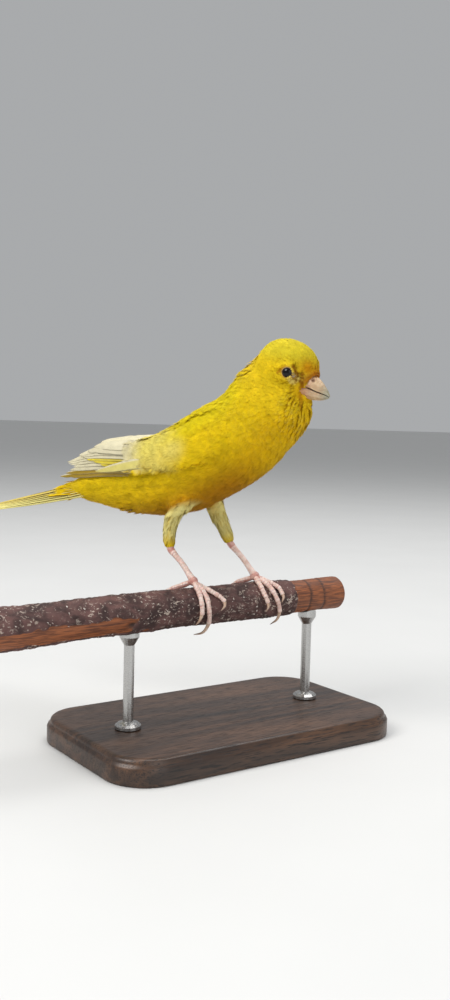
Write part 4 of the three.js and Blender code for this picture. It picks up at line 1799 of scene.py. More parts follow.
@dataclass
class Coat:
    """The small feathers, each a fan of fine tapering strands that lies over the skin."""

    plan: CoatPlan
    markings: Markings
    seed: int = 7
    tries: int = 150000
    stations: int = 5
    drawn: tuple = (0.0, 0.3, 0.7)
    patterns: int = 10
    strands: int = 20
    fan: float = 84.0
    fan_uneven: float = 2.5
    strand: tuple = ((0.0, 0.05), (0.38, 0.085), (0.74, 0.065))
    backing: tuple = (0.0, 0.4, 0.78)
    backing_half: float = 0.7
    uneven_length: float = 0.07
    uneven_width: float = 0.06
    uneven_tone: float = 0.03
    rise_range: tuple = (0.55, 1.8)
    root_lift: float = 0.1
    edge_lift: float = 0.9
    cling: float = 0.65
    lean: float = 0.6
    deep: tuple = (0.75, 0.1)
    bleached: tuple = (0.7, 1.0)
    patch: float = 0.003
    # Darker, warmer roots: partly the down's own colour, partly painted shade
    root_colour_and_shade: tuple = (0.9, 0.79, 0.5)
    bare_eye: float = 2.35
    face_start: float = 7.0
    bill_gap: float = 0.6
    gape_start: float = 10.2
    gape_half: float = 2.6
    gape_height: float = 3.2
    wing_start: float = 0.5
    wing_edge: float = 0.02
    off_wing: float = 3.6
    off_edge: float = 1.3
    off_sheet: float = 2.2
    free_tail: float = -52.0
    tail_end: float = -60.0
    true: float = 0.94
    free_at: float = 0.38
    slack: float = 0.15
    sheet_start: float = 0.36
    wall: float = 0.3
    level: float = 0.5
    strips: int = 14
    limit: int = 190000

    def _at_end(self, places: Array) -> Array:
        """Finds where the skin ends under the long feathers of a wing or of the tail.

        Args:
            places: points of the skin, one a row.

        Returns:
            Which places are there.
        """
        along, _, off_wing = self.plan.on_wing(places)
        on_sheet = (along > self.sheet_start) & (off_wing < self.off_sheet)
        return on_sheet | (places[:, 0] < self.free_tail)

    def _bare(self, places: Array, skin: Surface, bill: Surface) -> Array:
        """Finds the places without small feathers: at eyes and bill, and under the long feathers.

        Args:
            places: points of the skin, one a row.
            skin: the skin's surface.
            bill: the bill's surface.

        Returns:
            Which places are bare.
        """
        from_eye = np.linalg.norm(places[:, None] - self.plan.eyes[None], axis=2).min(1)
        bare = from_eye < self.bare_eye
        head = HEAD.into(places)
        front = head[:, 0] > self.face_start
        bare[front] |= bill.nearest(places[front])[2] < self.bill_gap
        in_gape = (head[:, 0] > self.gape_start) & (np.abs(head[:, 1]) < self.gape_half)
        bare |= in_gape & (np.abs(head[:, 2] + self.gape_height) < self.gape_height)
        along, down, off_wing = self.plan.on_wing(places)
        at_edge = (down < self.wing_edge) | (down > 1 - self.wing_edge)
        bare |= (off_wing < np.where(at_edge, self.off_edge, self.off_wing)) & (along > self.wing_start)
        normals = skin.nearest(places)[1]
        backward = (normals * self.plan.lie(places)).sum(-1)
        bare |= (backward > self.wall) & self._at_end(places)
        bare |= (backward < -self.level) & (places[:, 0] < self.free_tail)
        on_sheet = (along > self.sheet_start) & (off_wing < self.off_wing)
        bare |= on_sheet & (self.plan.facing(places, normals) < self.level)
        return bare | (places[:, 0] < self.tail_end)

    def roots(self, skin: Mesh, bill: Surface) -> tuple[Array, Array]:
        """Spreads the feathers' roots over the skin, no two nearer than their spacing.

        Args:
            skin: the skin's mesh.
            bill: the bill's surface.

        Returns:
            The roots and the areas' shares at each.
        """
        rng = np.random.default_rng(self.seed)
        skin.calc_loop_triangles()
        corners = np.zeros(len(skin.loop_triangles) * 3, np.int32)
        skin.loop_triangles.foreach_get("vertices", corners)
        triangles = points_of(skin)[corners.reshape(-1, 3)]
        one_side, other_side = triangles[:, 1] - triangles[:, 0], triangles[:, 2] - triangles[:, 0]
        sizes = np.linalg.norm(np.cross(one_side, other_side), axis=1)
        wanted = sizes / self.plan.measure(self.plan.shares(triangles.mean(1)), "spacing") ** 2
        chosen = rng.choice(len(triangles), self.tries, p=wanted / wanted.sum())
        u, v = rng.random((2, self.tries))
        u, v = np.where(u + v > 1, 1 - u, u), np.where(u + v > 1, 1 - v, v)
        places = triangles[chosen, 0] + one_side[chosen] * u[:, None] + other_side[chosen] * v[:, None]
        places = places[~self._bare(places, Surface(skin), bill)]
        shares = self.plan.shares(places)
        spacing = self.plan.measure(shares, "spacing")
        tree = Spots(places).tree
        open_spot = np.ones(len(places), bool)
        kept = []
        for index, place in enumerate(places.tolist()):
            if open_spot[index]:
                kept.append(index)
                for _, near, _ in tree.find_range(place, spacing[index]):
                    open_spot[near] = False
        return places[kept], shares[kept]

    def _pattern(self, rng: np.random.Generator, draw: float) -> tuple[Array, Array]:
        """Makes one fan of strands in a feather's own measures.

        Args:
            rng: the source of its small differences.
            draw: how far the strands are drawn together into a point.

        Returns:
            For each point its share along, its place across, its lift and its tilt; and the faces.
        """
        rows, faces = [], []
        fan = np.linspace(-self.fan, self.fan, self.strands) + rng.normal(0, self.fan_uneven, self.strands)
        for angle in np.radians(fan):
            short = 1 - 0.14 * rng.random() * (1 + draw)
            squeeze = 1 - draw * (0.75 + 0.25 * rng.random())
            reach = lerp(0.6, 0.88, draw)
            tip = np.array([(reach + (1 - reach) * math.cos(angle)) * short, math.sin(angle) * squeeze])
            root = np.array([0.05 + 0.42 * math.cos(angle), 0.1 * math.sin(angle)])
            bend = np.array([lerp(root[0], tip[0], 0.42), lerp(root[1], math.sin(angle), 0.72)])
            lift, tilt = rng.normal(0, 0.025 + 0.05 * draw), rng.normal(0, 0.14 + 0.2 * draw)
            base = len(rows)
            for share, half in self.strand:
                place = (1 - share) ** 2 * root + 2 * share * (1 - share) * bend + share**2 * tip
                for sign in (-1, 1):
                    height = lift * share + sign * tilt * half * 0.5
                    rows.append((place[0], place[1] + sign * half, height, tilt))
            rows.append((tip[0], tip[1], lift, tilt))
            corners = ((0, 2, 3), (0, 3, 1), (2, 4, 5), (2, 5, 3), (4, 6, 5))
            faces += [tuple(base + corner for corner in face) for face in corners]
        base = len(rows)
        for share in self.backing:
            for across in (-self.backing_half, self.backing_half):
                rows.append((share, across * (0.6 + 0.8 * share) * (1 - 0.5 * draw), -0.05, 0.0))
        for first in (base, base + 2):
            faces += [(first, first + 2, first + 3), (first, first + 3, first + 1)]
        return np.array(rows), np.array(faces)

    def _weights(self, rows: Array) -> Array:
        """Finds how far each point of a pattern follows each of the feather's stations.

        Args:
            rows: the pattern's points, each with its share along and its place across.

        Returns:
            The weights: point, station, and left, middle and right.
        """
        run = np.clip(rows[:, 0], 0, 1) * (self.stations - 1)
        index = np.minimum(run.astype(int), self.stations - 2)
        part = run - index
        across = rows[:, 1]
        sides = np.stack([across * (across - 1) / 2, 1 - across**2, across * (across + 1) / 2], -1)
        weights = np.zeros((len(rows), self.stations, 3))
        number = np.arange(len(rows))
        weights[number, index] = sides * (1 - part)[:, None]
        weights[number, index + 1] = sides * part[:, None]
        return weights

    def _goes_on(self, normal: Array, other: Array, away: Array, step: Array) -> Array:
        """Finds where the skin goes on level enough for a feather to follow it.

        Args:
            normal: the skin's normals before the step.
            other: its normals after it.
            away: how far the skin lies from the end of the step.
            step: the length of the step.

        Returns:
            Which steps end on the skin.
        """
        return ((other * normal).sum(-1) > self.level) & (away < self.free_at * step + self.slack)

    def _lay(self, roots: Array, shares: Array, skin: Surface) -> LaidFeathers:
        """Walks each feather from its root over the skin, and straight on where the skin ends.

        Args:
            roots: the feathers' roots.
            shares: the areas' shares at each.
            skin: the skin's surface.

        Returns:
            The feathers' stations.
        """
        rng = np.random.default_rng(self.seed + 1)
        count = len(roots)
        measure = {name: self.plan.measure(shares, name) for name in ("length", "width", "rise", "ruffle")}
        length = measure["length"] * (1 + rng.normal(0, self.uneven_length, count))
        half = measure["width"] / 2 * (1 + rng.normal(0, self.uneven_width, count))
        rise = measure["rise"] * np.clip(1 + rng.normal(0, 1, count) * measure["ruffle"], *self.rise_range)
        place, normal, _ = skin.nearest(roots)
        lie = self.plan.lie(roots)
        way = in_plane(lie, normal)
        stray = np.cross(normal, way) * rng.normal(0, 1, count)[:, None] * measure["ruffle"][:, None]
        way = in_plane(way + stray, normal)
        held, may_part = np.ones(count, bool), self._at_end(roots)
        step = length / (self.stations - 1)
        nodes = np.zeros((count, self.stations, 3, 3))
        ups = np.zeros((count, self.stations, 3))
        sideways = np.zeros((count, self.stations, 3))
        for station in range(self.stations):
            share = station / (self.stations - 1)
            lift = rise * (self.root_lift + (1 - self.root_lift) * share**0.75)
            side = np.cross(normal, way)
            nodes[:, station, 1] = place + normal * lift[:, None]
            for column, sign in ((0, -1), (2, 1)):
                level = place + side * (sign * half)[:, None]
                beside, beside_normal, away = skin.nearest(level)
                lies_flat = self._goes_on(normal, beside_normal, away, half)
                close = (~may_part | (held & lies_flat))[:, None]
                beside = np.where(close, lerp(level, beside, self.cling), level)
                beside_normal = np.where(close, beside_normal, normal)
                lifted = unit(beside_normal + normal) * (lift * self.edge_lift)[:, None]
                nodes[:, station, column] = beside + lifted
            ups[:, station] = unit(normal - way * (rise / length * self.lean)[:, None])
            sideways[:, station] = side
            on_skin, skin_normal, away = skin.nearest(place + way * step[:, None])
            held &= ~may_part | self._goes_on(normal, skin_normal, away, step)
            place = np.where(held[:, None], on_skin, place + in_plane(lie, normal) * step[:, None])
            normal = np.where(held[:, None], skin_normal, normal)
            way = in_plane(np.where(held[:, None], way, lie), normal)
        return LaidFeathers(roots, shares, nodes, ups, sideways)

    def _runs_true(self, laid: LaidFeathers) -> Array:
        """Which feathers run along their lie, as all of them do in front of the tail."""
        run = unit(laid.nodes[:, -1, 1] - laid.nodes[:, 0, 1])
        return (laid.roots[:, 0] > self.free_tail) | ((run * self.plan.lie(laid.roots)).sum(-1) > self.true)

    def _chart(self, roots: Array, shares: Array) -> Array:
        """Unrolls the skin: along and round the trunk, with a strip for each thigh.

        Args:
            roots: the feathers' roots.
            shares: the areas' shares at each.

        Returns:
            Each root's place on the map.
        """
        share, ahead, offset = self.plan.course.locate(roots)
        upward = in_plane(np.broadcast_to([0.0, 0, 1.0], ahead.shape), ahead)
        aside = np.cross(ahead, upward)
        turn = np.arctan2((offset * aside).sum(-1), (offset * upward).sum(-1))
        chart = np.stack([0.01 + 0.78 * share, 0.5 + 0.48 * turn / math.pi], -1)
        areas = list(Area)
        thigh = shares[:, areas.index(Area.THIGH)] + shares[:, areas.index(Area.CUFF)] > 0.5
        steps = self.plan.thigh_steps
        for number, leg in enumerate(LEGS):
            path = Spline((*leg.thigh, leg.ankle)).even(steps)
            index, _ = Spots(path).nearest(roots)
            away = roots - path[index]
            mine = thigh & (np.sign(roots[:, 1]) == SIDES[leg.side])
            round_leg = np.arctan2(away[:, 1], away[:, 0]) / (2 * math.pi)
            strip = [0.86 + 0.1 * number + 0.08 * round_leg, 0.05 + 0.9 * index / (steps - 1)]
            chart[mine] = np.stack(strip, -1)[mine]
        return chart

    def _feathers(self, laid: LaidFeathers, chart: Array, rng: np.random.Generator) -> list[Feather]:
        """Bends a pattern onto each laid feather and colours it.

        Args:
            laid: the laid feathers.
            chart: each one's place on the map.
            rng: the source of their small differences.

        Returns:
            The feathers.
        """
        count = len(laid.roots)
        colours = self.markings.colours(laid.nodes.reshape(-1, 3)).reshape(laid.nodes.shape)
        colours = colours * (1 + rng.normal(0, self.uneven_tone, count))[:, None, None, None]
        pale, draw = self.plan.measure(laid.shares, "pale"), self.plan.measure(laid.shares, "draw")
        patterns = [[self._pattern(rng, drawn) for _ in range(self.patterns)] for drawn in self.drawn]
        level = np.abs(draw[:, None] - np.array(self.drawn)[None]).argmin(1)
        kind = rng.integers(0, self.patterns, count)
        half_width = self.plan.measure(laid.shares, "width")[:, None, None] / 2
        feathers = {}
        for number, row in enumerate(patterns):
            for other, (rows, triangles) in enumerate(row):
                mine = np.flatnonzero((level == number) & (kind == other))
                if not len(mine):
                    continue
                weights = self._weights(rows)
                along = weights.sum(2)
                up = unit(np.einsum("vk,fkc->fvc", along, laid.ups[mine]))
                side = np.einsum("vk,fkc->fvc", along, laid.sideways[mine])
                points = np.einsum("vkl,fklc->fvc", weights, laid.nodes[mine])
                points = points + up * (rows[:, 2][None, :, None] * half_width[mine])
                facing = unit(up + side * rows[:, 3][None, :, None])
                deep = ease(*self.deep, rows[:, 0])[None, :, None]
                bleach = ease(*self.bleached, rows[:, 0])[None, :, None] * pale[mine][:, None, None]
                tone = np.einsum("vkl,fklc->fvc", weights, colours[mine])
                # Darker, warmer roots: partly the down's own colour, partly painted shade where feathers lie
                # under others
                tone = tone * lerp(np.ones(3), np.array(self.root_colour_and_shade), deep)
                tone = tone + (Hue.PALE.light - tone) * bleach
                within = np.stack([rows[:, 1] * 0.5, rows[:, 0] - 0.5], -1) * self.patch
                for index, *made in zip(mine, points, facing, tone, chart[mine][:, None] + within):
                    feathers[index] = Feather(*made, triangles)
        return [feathers[index] for index in range(count)]

    def _parts(self, laid: LaidFeathers, chart: Array, feathers: list[Feather]) -> list[list[Feather]]:
        """Parts the coat from head to tail into pieces under the limit.

        Args:
            laid: the laid feathers.
            chart: each one's place on the map.
            feathers: the feathers.

        Returns:
            The feathers of each piece.
        """
        order = np.lexsort((laid.roots[:, 1], (chart[:, 0] * self.strips).astype(int)))
        parts, total = [[]], 0
        for feather in (feathers[index] for index in order):
            if total + len(feather.faces) > self.limit:
                parts.append([])
                total = 0
            parts[-1].append(feather)
            total += len(feather.faces)
        return parts

    @staticmethod
    def _piece(number: int, part: list[Feather], finish: Material) -> Object:
        """Makes one piece of the coat.

        Args:
            number: its number.
            part: its feathers.
            finish: its material.

        Returns:
            The finished piece.
        """
        bases = np.cumsum([0] + [len(feather.points) for feather in part[:-1]])
        triangles = np.concatenate([feather.faces + base for feather, base in zip(part, bases)])
        points = np.concatenate([feather.points for feather in part])
        mesh = mesh_of(f"coat_feathers_{number}", points, triangles)
        paint(mesh, np.concatenate([feather.tones for feather in part]))
        map_vertices(mesh, BAKE_MAP, np.concatenate([feather.spots for feather in part]))
        facing = np.concatenate([feather.facing for feather in part])
        mesh.normals_split_custom_set_from_vertices(facing)
        return finish_piece(new_object(mesh, finish))

    def build(self, skin: Object, bill: Surface, finish: Material) -> list[Object]:
        """Grows the coat and parts it into pieces.

        Args:
            skin: the finished skin.
            bill: the bill's surface, which stays clear.
            finish: the coat's material.

        Returns:
            The finished pieces.
        """
        rng = np.random.default_rng(self.seed + 2)
        roots, shares = self.roots(skin.data, bill)
        laid = self._lay(roots, shares, Surface(skin.data))
        laid = laid.kept(self._runs_true(laid))
        log.info("coat: %d feathers", len(laid.roots))
        chart = self._chart(laid.roots, laid.shares)
        parts = self._parts(laid, chart, self._feathers(laid, chart, rng))
        return [self._piece(number, part, finish) for number, part in enumerate(parts, 1)]


@dataclass(frozen=True)
class Blade:
    """The form of one long feather.

    middle, across, outward and half hold its middle line, its directions and half its width, row by row from
    root to tip; inner and outer are the colours of its webs, and web the outer one's share of the width.
    """

    middle: Array
    across: Array
    outward: Array
    half: Array
    inner: Array
    outer: Array
    web: float = 0.36
    thickness: float = 0.14
    camber: float = 0.12
    shaft: float = 0.16
    shaft_half: float = 0.06


class BladeSet:
    """Long feathers gathered into one piece."""

    columns = np.array([-1, -0.86, -0.6, -0.28, -0.07, 0, 0.07, 0.28, 0.6, 0.86, 1.0])
    ragged = 0.012
    split = (0.78, 0.9)
    most_splits = 2
    uneven_tone = 0.03

    def __init__(self, seed: int):
        """Starts an empty set.

        Args:
            seed: starts its own source of small differences.
        """
        self.rng = np.random.default_rng(seed)
        self.forms, self.tones, self.across, self.along = [], [], [], []

    def add(self, blade: Blade) -> None:
        """Adds one closed blade with its shaft, its split edges and its colours.

        Args:
            blade: its form.
        """
        rows, columns = len(blade.half), self.columns
        share = np.linspace(0, 1, rows)
        ragged = 1 + self.ragged * self.rng.normal(0, 1, (rows, 2))
        for _ in range(self.rng.integers(0, self.most_splits + 1)):
            at, side = self.rng.integers(rows // 3, rows - 2), self.rng.integers(0, 2)
            ragged[at, side] *= self.rng.uniform(*self.split)
        edge = np.where(columns[None] < 0, ragged[:, :1], ragged[:, 1:])
        reach = np.where(columns < 0, blade.web * 2, (1 - blade.web) * 2)[None]
        width = columns[None] * reach * edge * blade.half[:, None]
        drop = -blade.camber * columns[None] ** 2 * blade.half[:, None]
        thick = blade.thickness / 2 * np.sqrt(np.maximum(0, 1 - np.abs(columns) ** 3))[None]
        shaft = blade.shaft * np.exp(-((columns / blade.shaft_half) ** 2))[None] * (1 - 0.8 * share[:, None])
        top = blade.middle[:, None] + blade.across[:, None] * width[..., None]
        under = top + blade.outward[:, None] * (drop - thick - shaft * 0.8)[..., None]
        top = top + blade.outward[:, None] * (drop + thick + shaft)[..., None]
        inside = slice(1, -1)
        self.forms.append(loft(np.concatenate([top, under[:, ::-1][:, inside]], axis=1)))
        across = np.concatenate([columns, columns[::-1][inside]])
        tone = self._colours(blade, across) * (1 + self.rng.normal(0, self.uneven_tone))
        ends = [tone[0].mean(0)[None], tone[-1].mean(0)[None]]
        self.tones.append(np.concatenate([tone.reshape(-1, 3), *ends]))
        self.across.append(np.concatenate([np.tile(across, rows), [0, 0]]))
        self.along.append(np.concatenate([np.repeat(share, len(across)), [0, 1]]))

    @staticmethod
    def _colours(blade: Blade, across: Array) -> Array:
        """Colours a blade: its two webs, its pale shaft and its creamy rim.

        Args:
            blade: the blade.
            across: places across it, from the outer rim at -1 to the inner one at 1.

        Returns:
            The colours by row and place across.
        """
        every_row = np.ones((len(blade.half), 1))
        inner_web = ease(-0.12, 0.16, across)[None] * every_row
        tone = blend(blade.outer[None, None], blade.inner[None, None], inner_web)
        on_shaft = np.exp(-((across / 0.05) ** 2))[None] * every_row
        tone = blend(tone, Hue.SHAFT.light[None, None], on_shaft * 0.6)
        rim = ease(0.8, 1.0, np.abs(across))[None] * every_row
        return blend(tone, tone * 0.4 + Hue.CREAM.light * 0.6, rim * 0.6)

    def piece(self, name: str, finish: Material, nodes: tuple[str, ...]) -> Object:
        """The finished piece.

        Args:
            name: its name.
            finish: its material.
            nodes: the nodes that it stands for.

        Returns:
            The piece.
        """
        mesh = mesh_of(name, *joined(self.forms))
        paint(mesh, np.concatenate(self.tones))
        across, along = np.concatenate(self.across), np.concatenate(self.along)
        mark(mesh, "Across", across)
        mark(mesh, "Along", along)
        cells = math.ceil(math.sqrt(len(self.forms)))
        number = np.repeat(np.arange(len(self.forms)), [len(form[0]) for form in self.forms])
        corner = np.stack([number % cells, number // cells], -1)
        within = np.stack([0.08 + 0.84 * (across + 1) / 2, 0.04 + 0.92 * along], -1)
        map_vertices(mesh, BAKE_MAP, (corner + within) / cells)
        face_outwards(mesh)
        return finish_piece(new_object(mesh, finish), nodes)


def blade_shape(share: Array, point: float = 0.5) -> Array:
    """Half the width of a blade as a share of its greatest: broad, then drawn in to its tip.

    Args:
        share: places along the blade.
        point: 0.5 for a rounded tip, and more for a pointed one.

    Returns:
        The half width at each.
    """
    return np.minimum(1, 0.7 + 2 * share) * np.maximum(0.006, 1 - share**3.2) ** point


@dataclass(frozen=True)
class Tier:
    """A tier of the wing's feathers.

    Roots and tips run through places given along and down the panel. out is the first feather's place outside
    the panel, step the next one's beyond it, and web the share of the width that the inner web takes.
    """

    count: int
    roots: tuple
    tips: tuple
    width: float
    out: float
    step: float
    inner: Hue
    outer: Hue
    web: float = 0.6
    point: float = 0.5

    @staticmethod
    def along(places: tuple, share: float) -> Array:
        """The place at a share of the way through these places."""
        steps = np.linspace(0, 1, len(places))
        return np.array([np.interp(share, steps, column) for column in zip(*places)])


class WingTier(Enum):
    """The wing's tiers, from the longest and deepest to the shortest on top."""

    PRIMARIES = Tier(
        count=5,
        roots=((0.46, 0.5), (0.433, 0.767)),
        tips=((0.95, -0.02), (0.93, 0.127), (0.907, 0.293), (0.88, 0.48), (0.907, 0.613)),
        width=3.9,
        out=-0.9,
        step=-0.16,
        inner=Hue.CREAM,
        outer=Hue.CREAM,
        web=0.74,
        point=0.8,
    )
    # Their outer webs are yellow darkened with painted shade, for the shadow under the lowest blades
    LOW_PRIMARIES = Tier(
        count=2,
        roots=((0.427, 0.833), (0.42, 0.9)),
        tips=((0.943, 0.74), (0.99, 0.86)),
        width=3.9,
        out=-1.7,
        step=-0.16,
        inner=Hue.CREAM,
        outer=Hue.OCHRE,
        web=0.74,
        point=0.8,
    )
    SECONDARIES = Tier(
        count=3,
        roots=((0.42, 0.3), (0.4, 0.46)),
        tips=((0.84, 0.08), (0.8, 0.32)),
        width=4.6,
        out=-0.2,
        step=-0.14,
        inner=Hue.CREAM,
        outer=Hue.CREAM,
        web=0.7,
        point=0.6,
    )
    OUTER_SECONDARIES = Tier(
        count=3,
        roots=((0.4, 0.54), (0.38, 0.72)),
        tips=((0.78, 0.46), (0.7, 0.74)),
        width=4.4,
        out=-0.62,
        step=-0.14,
        inner=Hue.STRAW,
        outer=Hue.COVERT,
        web=0.6,
        point=0.6,
    )
    TERTIALS = Tier(
        count=3,
        roots=((0.36, 0.14), (0.36, 0.42)),
        tips=((0.71, 0.0), (0.78, 0.14)),
        width=6.0,
        out=0.35,
        step=-0.16,
        inner=Hue.CREAM,
        outer=Hue.CREAM,
    )
    LOWEST = Tier(
        count=1,
        roots=((0.34, 0.56),),
        tips=((0.72, 0.94),),
        width=3.8,
        out=0.55,
        step=0.0,
        inner=Hue.CREAM,
        outer=Hue.STRAW,
        web=0.8,
        point=0.8,
    )


@dataclass
class WingFeathers:
    """The long feathers of one folded wing, in tiers."""

    side: str
    panel: WingPanel
    rows: int = 22
    sunk: float = 1.6

    def build(self, finish: Material) -> Object:
        """Lays every tier on the panel.

        Args:
            finish: the material of long feathers.

        Returns:
            The finished piece.
        """
        blades = BladeSet(21 if self.side == "right" else 22)
        for tier in (kind.value for kind in WingTier):
            for number in range(tier.count):
                share = number / max(1, tier.count - 1)
                root, tip = tier.along(tier.roots, share), tier.along(tier.tips, share)
                blades.add(self._blade(tier, root, tip, tier.out + tier.step * number))
        return blades.piece(f"wing_{self.side}_feathers", finish, (f"wing_{self.side}",))

    def _blade(self, tier: Tier, root: Array, tip: Array, out: float) -> Blade:
        """Shapes one feather.

        Args:
            tier: its tier.
            root: its root, along and down the panel.
            tip: its tip, along and down the panel.
            out: how far it lies outside the panel.

        Returns:
            Its form.
        """
        run = 1 - (1 - np.linspace(0, 1, self.rows)) ** 1.2
        lift = out - self.sunk * ease(0.55, 0.0, run)
        spots = [self.panel.at(*lerp(root, tip, share), height) for share, height in zip(run, lift)]
        middle, across, outward = (np.array(part) for part in zip(*spots))
        ahead = unit(np.gradient(middle, axis=0))
        across = in_plane(across, ahead)
        outward = in_plane(outward, ahead)
        return Blade(
            middle=middle,
            across=-across,
            outward=outward,
            half=tier.width / 2 * blade_shape(run, tier.point),
            inner=tier.inner.light,
            outer=tier.outer.light,
            web=tier.web,
        )


@dataclass
class TailFeathers:
    """The twelve feathers of the closed tail, in pairs from the middle one on top to the outer one below.

    pairs holds each pair's length as a share of the tail's, and how far its roots and its tips lie from the
    middle; top and under hold the height of the roots and the slope of the feathers.
    """

    root_x: float = -57.0
    top: tuple = (82.8, 14.0)
    under: tuple = (78.4, 10.6)
    length: float = 47.0
    width: float = 5.0
    sunk: float = -5.0
    pairs: tuple = (
        (0.95, 0.7, 0.9), (0.965, 1.2, 1.9), (0.985, 1.7, 2.9), (1.0, 2.1, 3.9), (1.0, 2.5, 4.9),
        (0.98, 2.8, 5.6),
    )
    rows: int = 28

    def build(self, finish: Material) -> Object:
        """Lays the feathers one under the other.

        Args:
            finish: the material of long feathers.

        Returns:
            The finished piece.
        """
        blades = BladeSet(31)
        for side in (-1, 1):
            for index, (length, near, far) in enumerate(self.pairs):
                blades.add(self._blade(side, index, length, near, far))
        return blades.piece("tail_feathers", finish, ("tail",))

    def _blade(self, side: int, index: int, length: float, near: float, far: float) -> Blade:
        """Shapes one feather of a pair.

        Args:
            side: -1 for the right one and 1 for the left one.
            index: the number of the pair, from the top.
            length: its length as a share of the tail's.
            near: how far its root lies from the middle of the tail.
            far: how far its tip does.

        Returns:
            Its form.
        """
        level = (index + (0 if side > 0 else 0.5)) / len(self.pairs)
        slope = math.radians(lerp(self.top[1], self.under[1], level))
        tilt = math.radians(8 + 16 * level) * side
        across = np.array([0, math.cos(tilt), -math.sin(tilt)])
        back = np.array([-math.cos(slope), 0, -math.sin(slope)])
        run = 1 - (1 - np.linspace(0, 1, self.rows)) ** 1.25
        height = lerp(self.top[0], self.under[0], level)
        start = np.array([[self.root_x, side * lerp(near, far, share), height] for share in run])
        middle = start + back * lerp(self.sunk, self.length * length, run)[:, None]
        outward = unit(np.cross(across, back))
        spread = (self.rows, 3)
        return Blade(
            middle=middle,
            across=np.broadcast_to(across * -side, spread),
            outward=np.broadcast_to(outward, spread),
            half=self.width / 2 * blade_shape(run),
            inner=blend(Hue.TAIL_TOP.light, Hue.CREAM.light, min(1, 0.3 + level)),
            outer=blend(Hue.TAIL_TOP.light, Hue.PALE.light, min(1, level * 1.6)),
            web=0.62,
        )


@dataclass
class Eyes:
    """The eyeballs."""

    rings: int = 40
    sides: int = 56

    def build(self, finish: Material) -> None:
        """Makes both eyeballs, each marked with the distance from the middle of its pupil.

        Args:
            finish: the eyes' material.
        """
        for side in SIDES:
            look = eye_look(side)
            first = in_plane(np.array([0, 0, 1.0]), look)
            second = np.cross(look, first)
            tilt = np.linspace(0.02, math.pi - 0.02, self.rings)
            turn = np.linspace(0, 2 * math.pi, self.sides, endpoint=False)
            flat = first * np.cos(turn)[:, None] + second * np.sin(turn)[:, None]
            rings = look * np.cos(tilt)[:, None, None] + flat[None] * np.sin(tilt)[:, None, None]
            points, quads, tris = loft(eye_middle(side) + rings * eye_radius())
            mesh = mesh_of(f"eye_{side}_ball", points, quads, tris)
            off = unit(points - eye_middle(side)) @ look
            mark(mesh, "Iris", np.sqrt(np.maximum(0, 1 - off**2)) + (off < 0))
            face_outwards(mesh)
            finish_piece(new_object(mesh, finish), (f"eye_{side}",))


@dataclass
class Bill:
    """Both halves of the bill."""

    halves: tuple = ("upper", "lower")
    grain: float = 0.13
    rounds: int = 5
    ridge: tuple = (10.6, 0.0, 0.9)
    nostril: tuple = (11.7, 2.3, -0.9)
    mouth: tuple = ((8.4, -3.9), (9.9, -3.5), (11.6, -3.65), (13.4, -4.1), (16.0, -4.5))

    def build(self, finish: Material) -> None:
        """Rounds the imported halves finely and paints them.

        Args:
            finish: the bill's material.
        """
        for half in self.halves:
            name = f"bill_{half}_horn"
            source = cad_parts[f"bill_{half}"].data.copy()
            source.name = name
            form = bmesh.new()
            form.from_mesh(source)
            merge_corners(form)
            form.to_mesh(source)
            form.free()
            mesh = remeshed(source, self.grain)
            mesh.name = name
            relax(mesh, self.rounds)
            paint(mesh, self._colours(HEAD.into(points_of(mesh))))
            finish_piece(new_object(mesh, finish), (f"bill_{half}",))

    def _colours(self, head: Array) -> Array:
        """Colours the horn from the feathered base to the tip, with painted shade along the line of the mouth
        and in the nostrils.

        Args:
            head: places in the head's frame, one a row.

        Returns:
            The colours, one a row.
        """
        forward = head[:, 0]
        tone = blend(Hue.HORN_BASE.light, Hue.HORN.light, ease(9.0, 12.6, forward))
        tone = blend(tone, Hue.HORN_TIP.light, ease(13.4, 16.8, forward) * 0.8)
        ridge = np.exp(-((np.linalg.norm(head - np.array(self.ridge), axis=1) / 2.0) ** 2))
        tone = blend(tone, Hue.AMBER.light, ridge * 0.6)
        line = np.interp(forward, *zip(*self.mouth))
        width = np.interp(forward, [8.0, 13.5], [0.8, 0.3])
        # Painted shade: a dark line where the halves meet at the mouth, and dark nostrils
        shadow_slit = np.clip(1.2 - np.abs(head[:, 2] - line) / width, 0, 1) * ease(15.6, 12.0, forward)
        mirrored = np.abs(head) * [0, 1, 0] + head * [1, 0, 1]
        from_nostril = np.linalg.norm(mirrored - np.array(self.nostril), axis=1)
        return blend(tone, Hue.GAPE.light, np.maximum(shadow_slit * 0.85, ease(0.85, 0.45, from_nostril) * 0.7))

    def surface(self) -> Surface:
        """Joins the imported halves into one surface, for the coat to stay clear of.

        Returns:
            The surface.
        """
        form = bmesh.new()
        for half in self.halves:
            form.from_mesh(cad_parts[f"bill_{half}"].data)
        mesh = bpy.data.meshes.new("bill_form")
        form.to_mesh(mesh)
        form.free()
        return Surface(mesh)


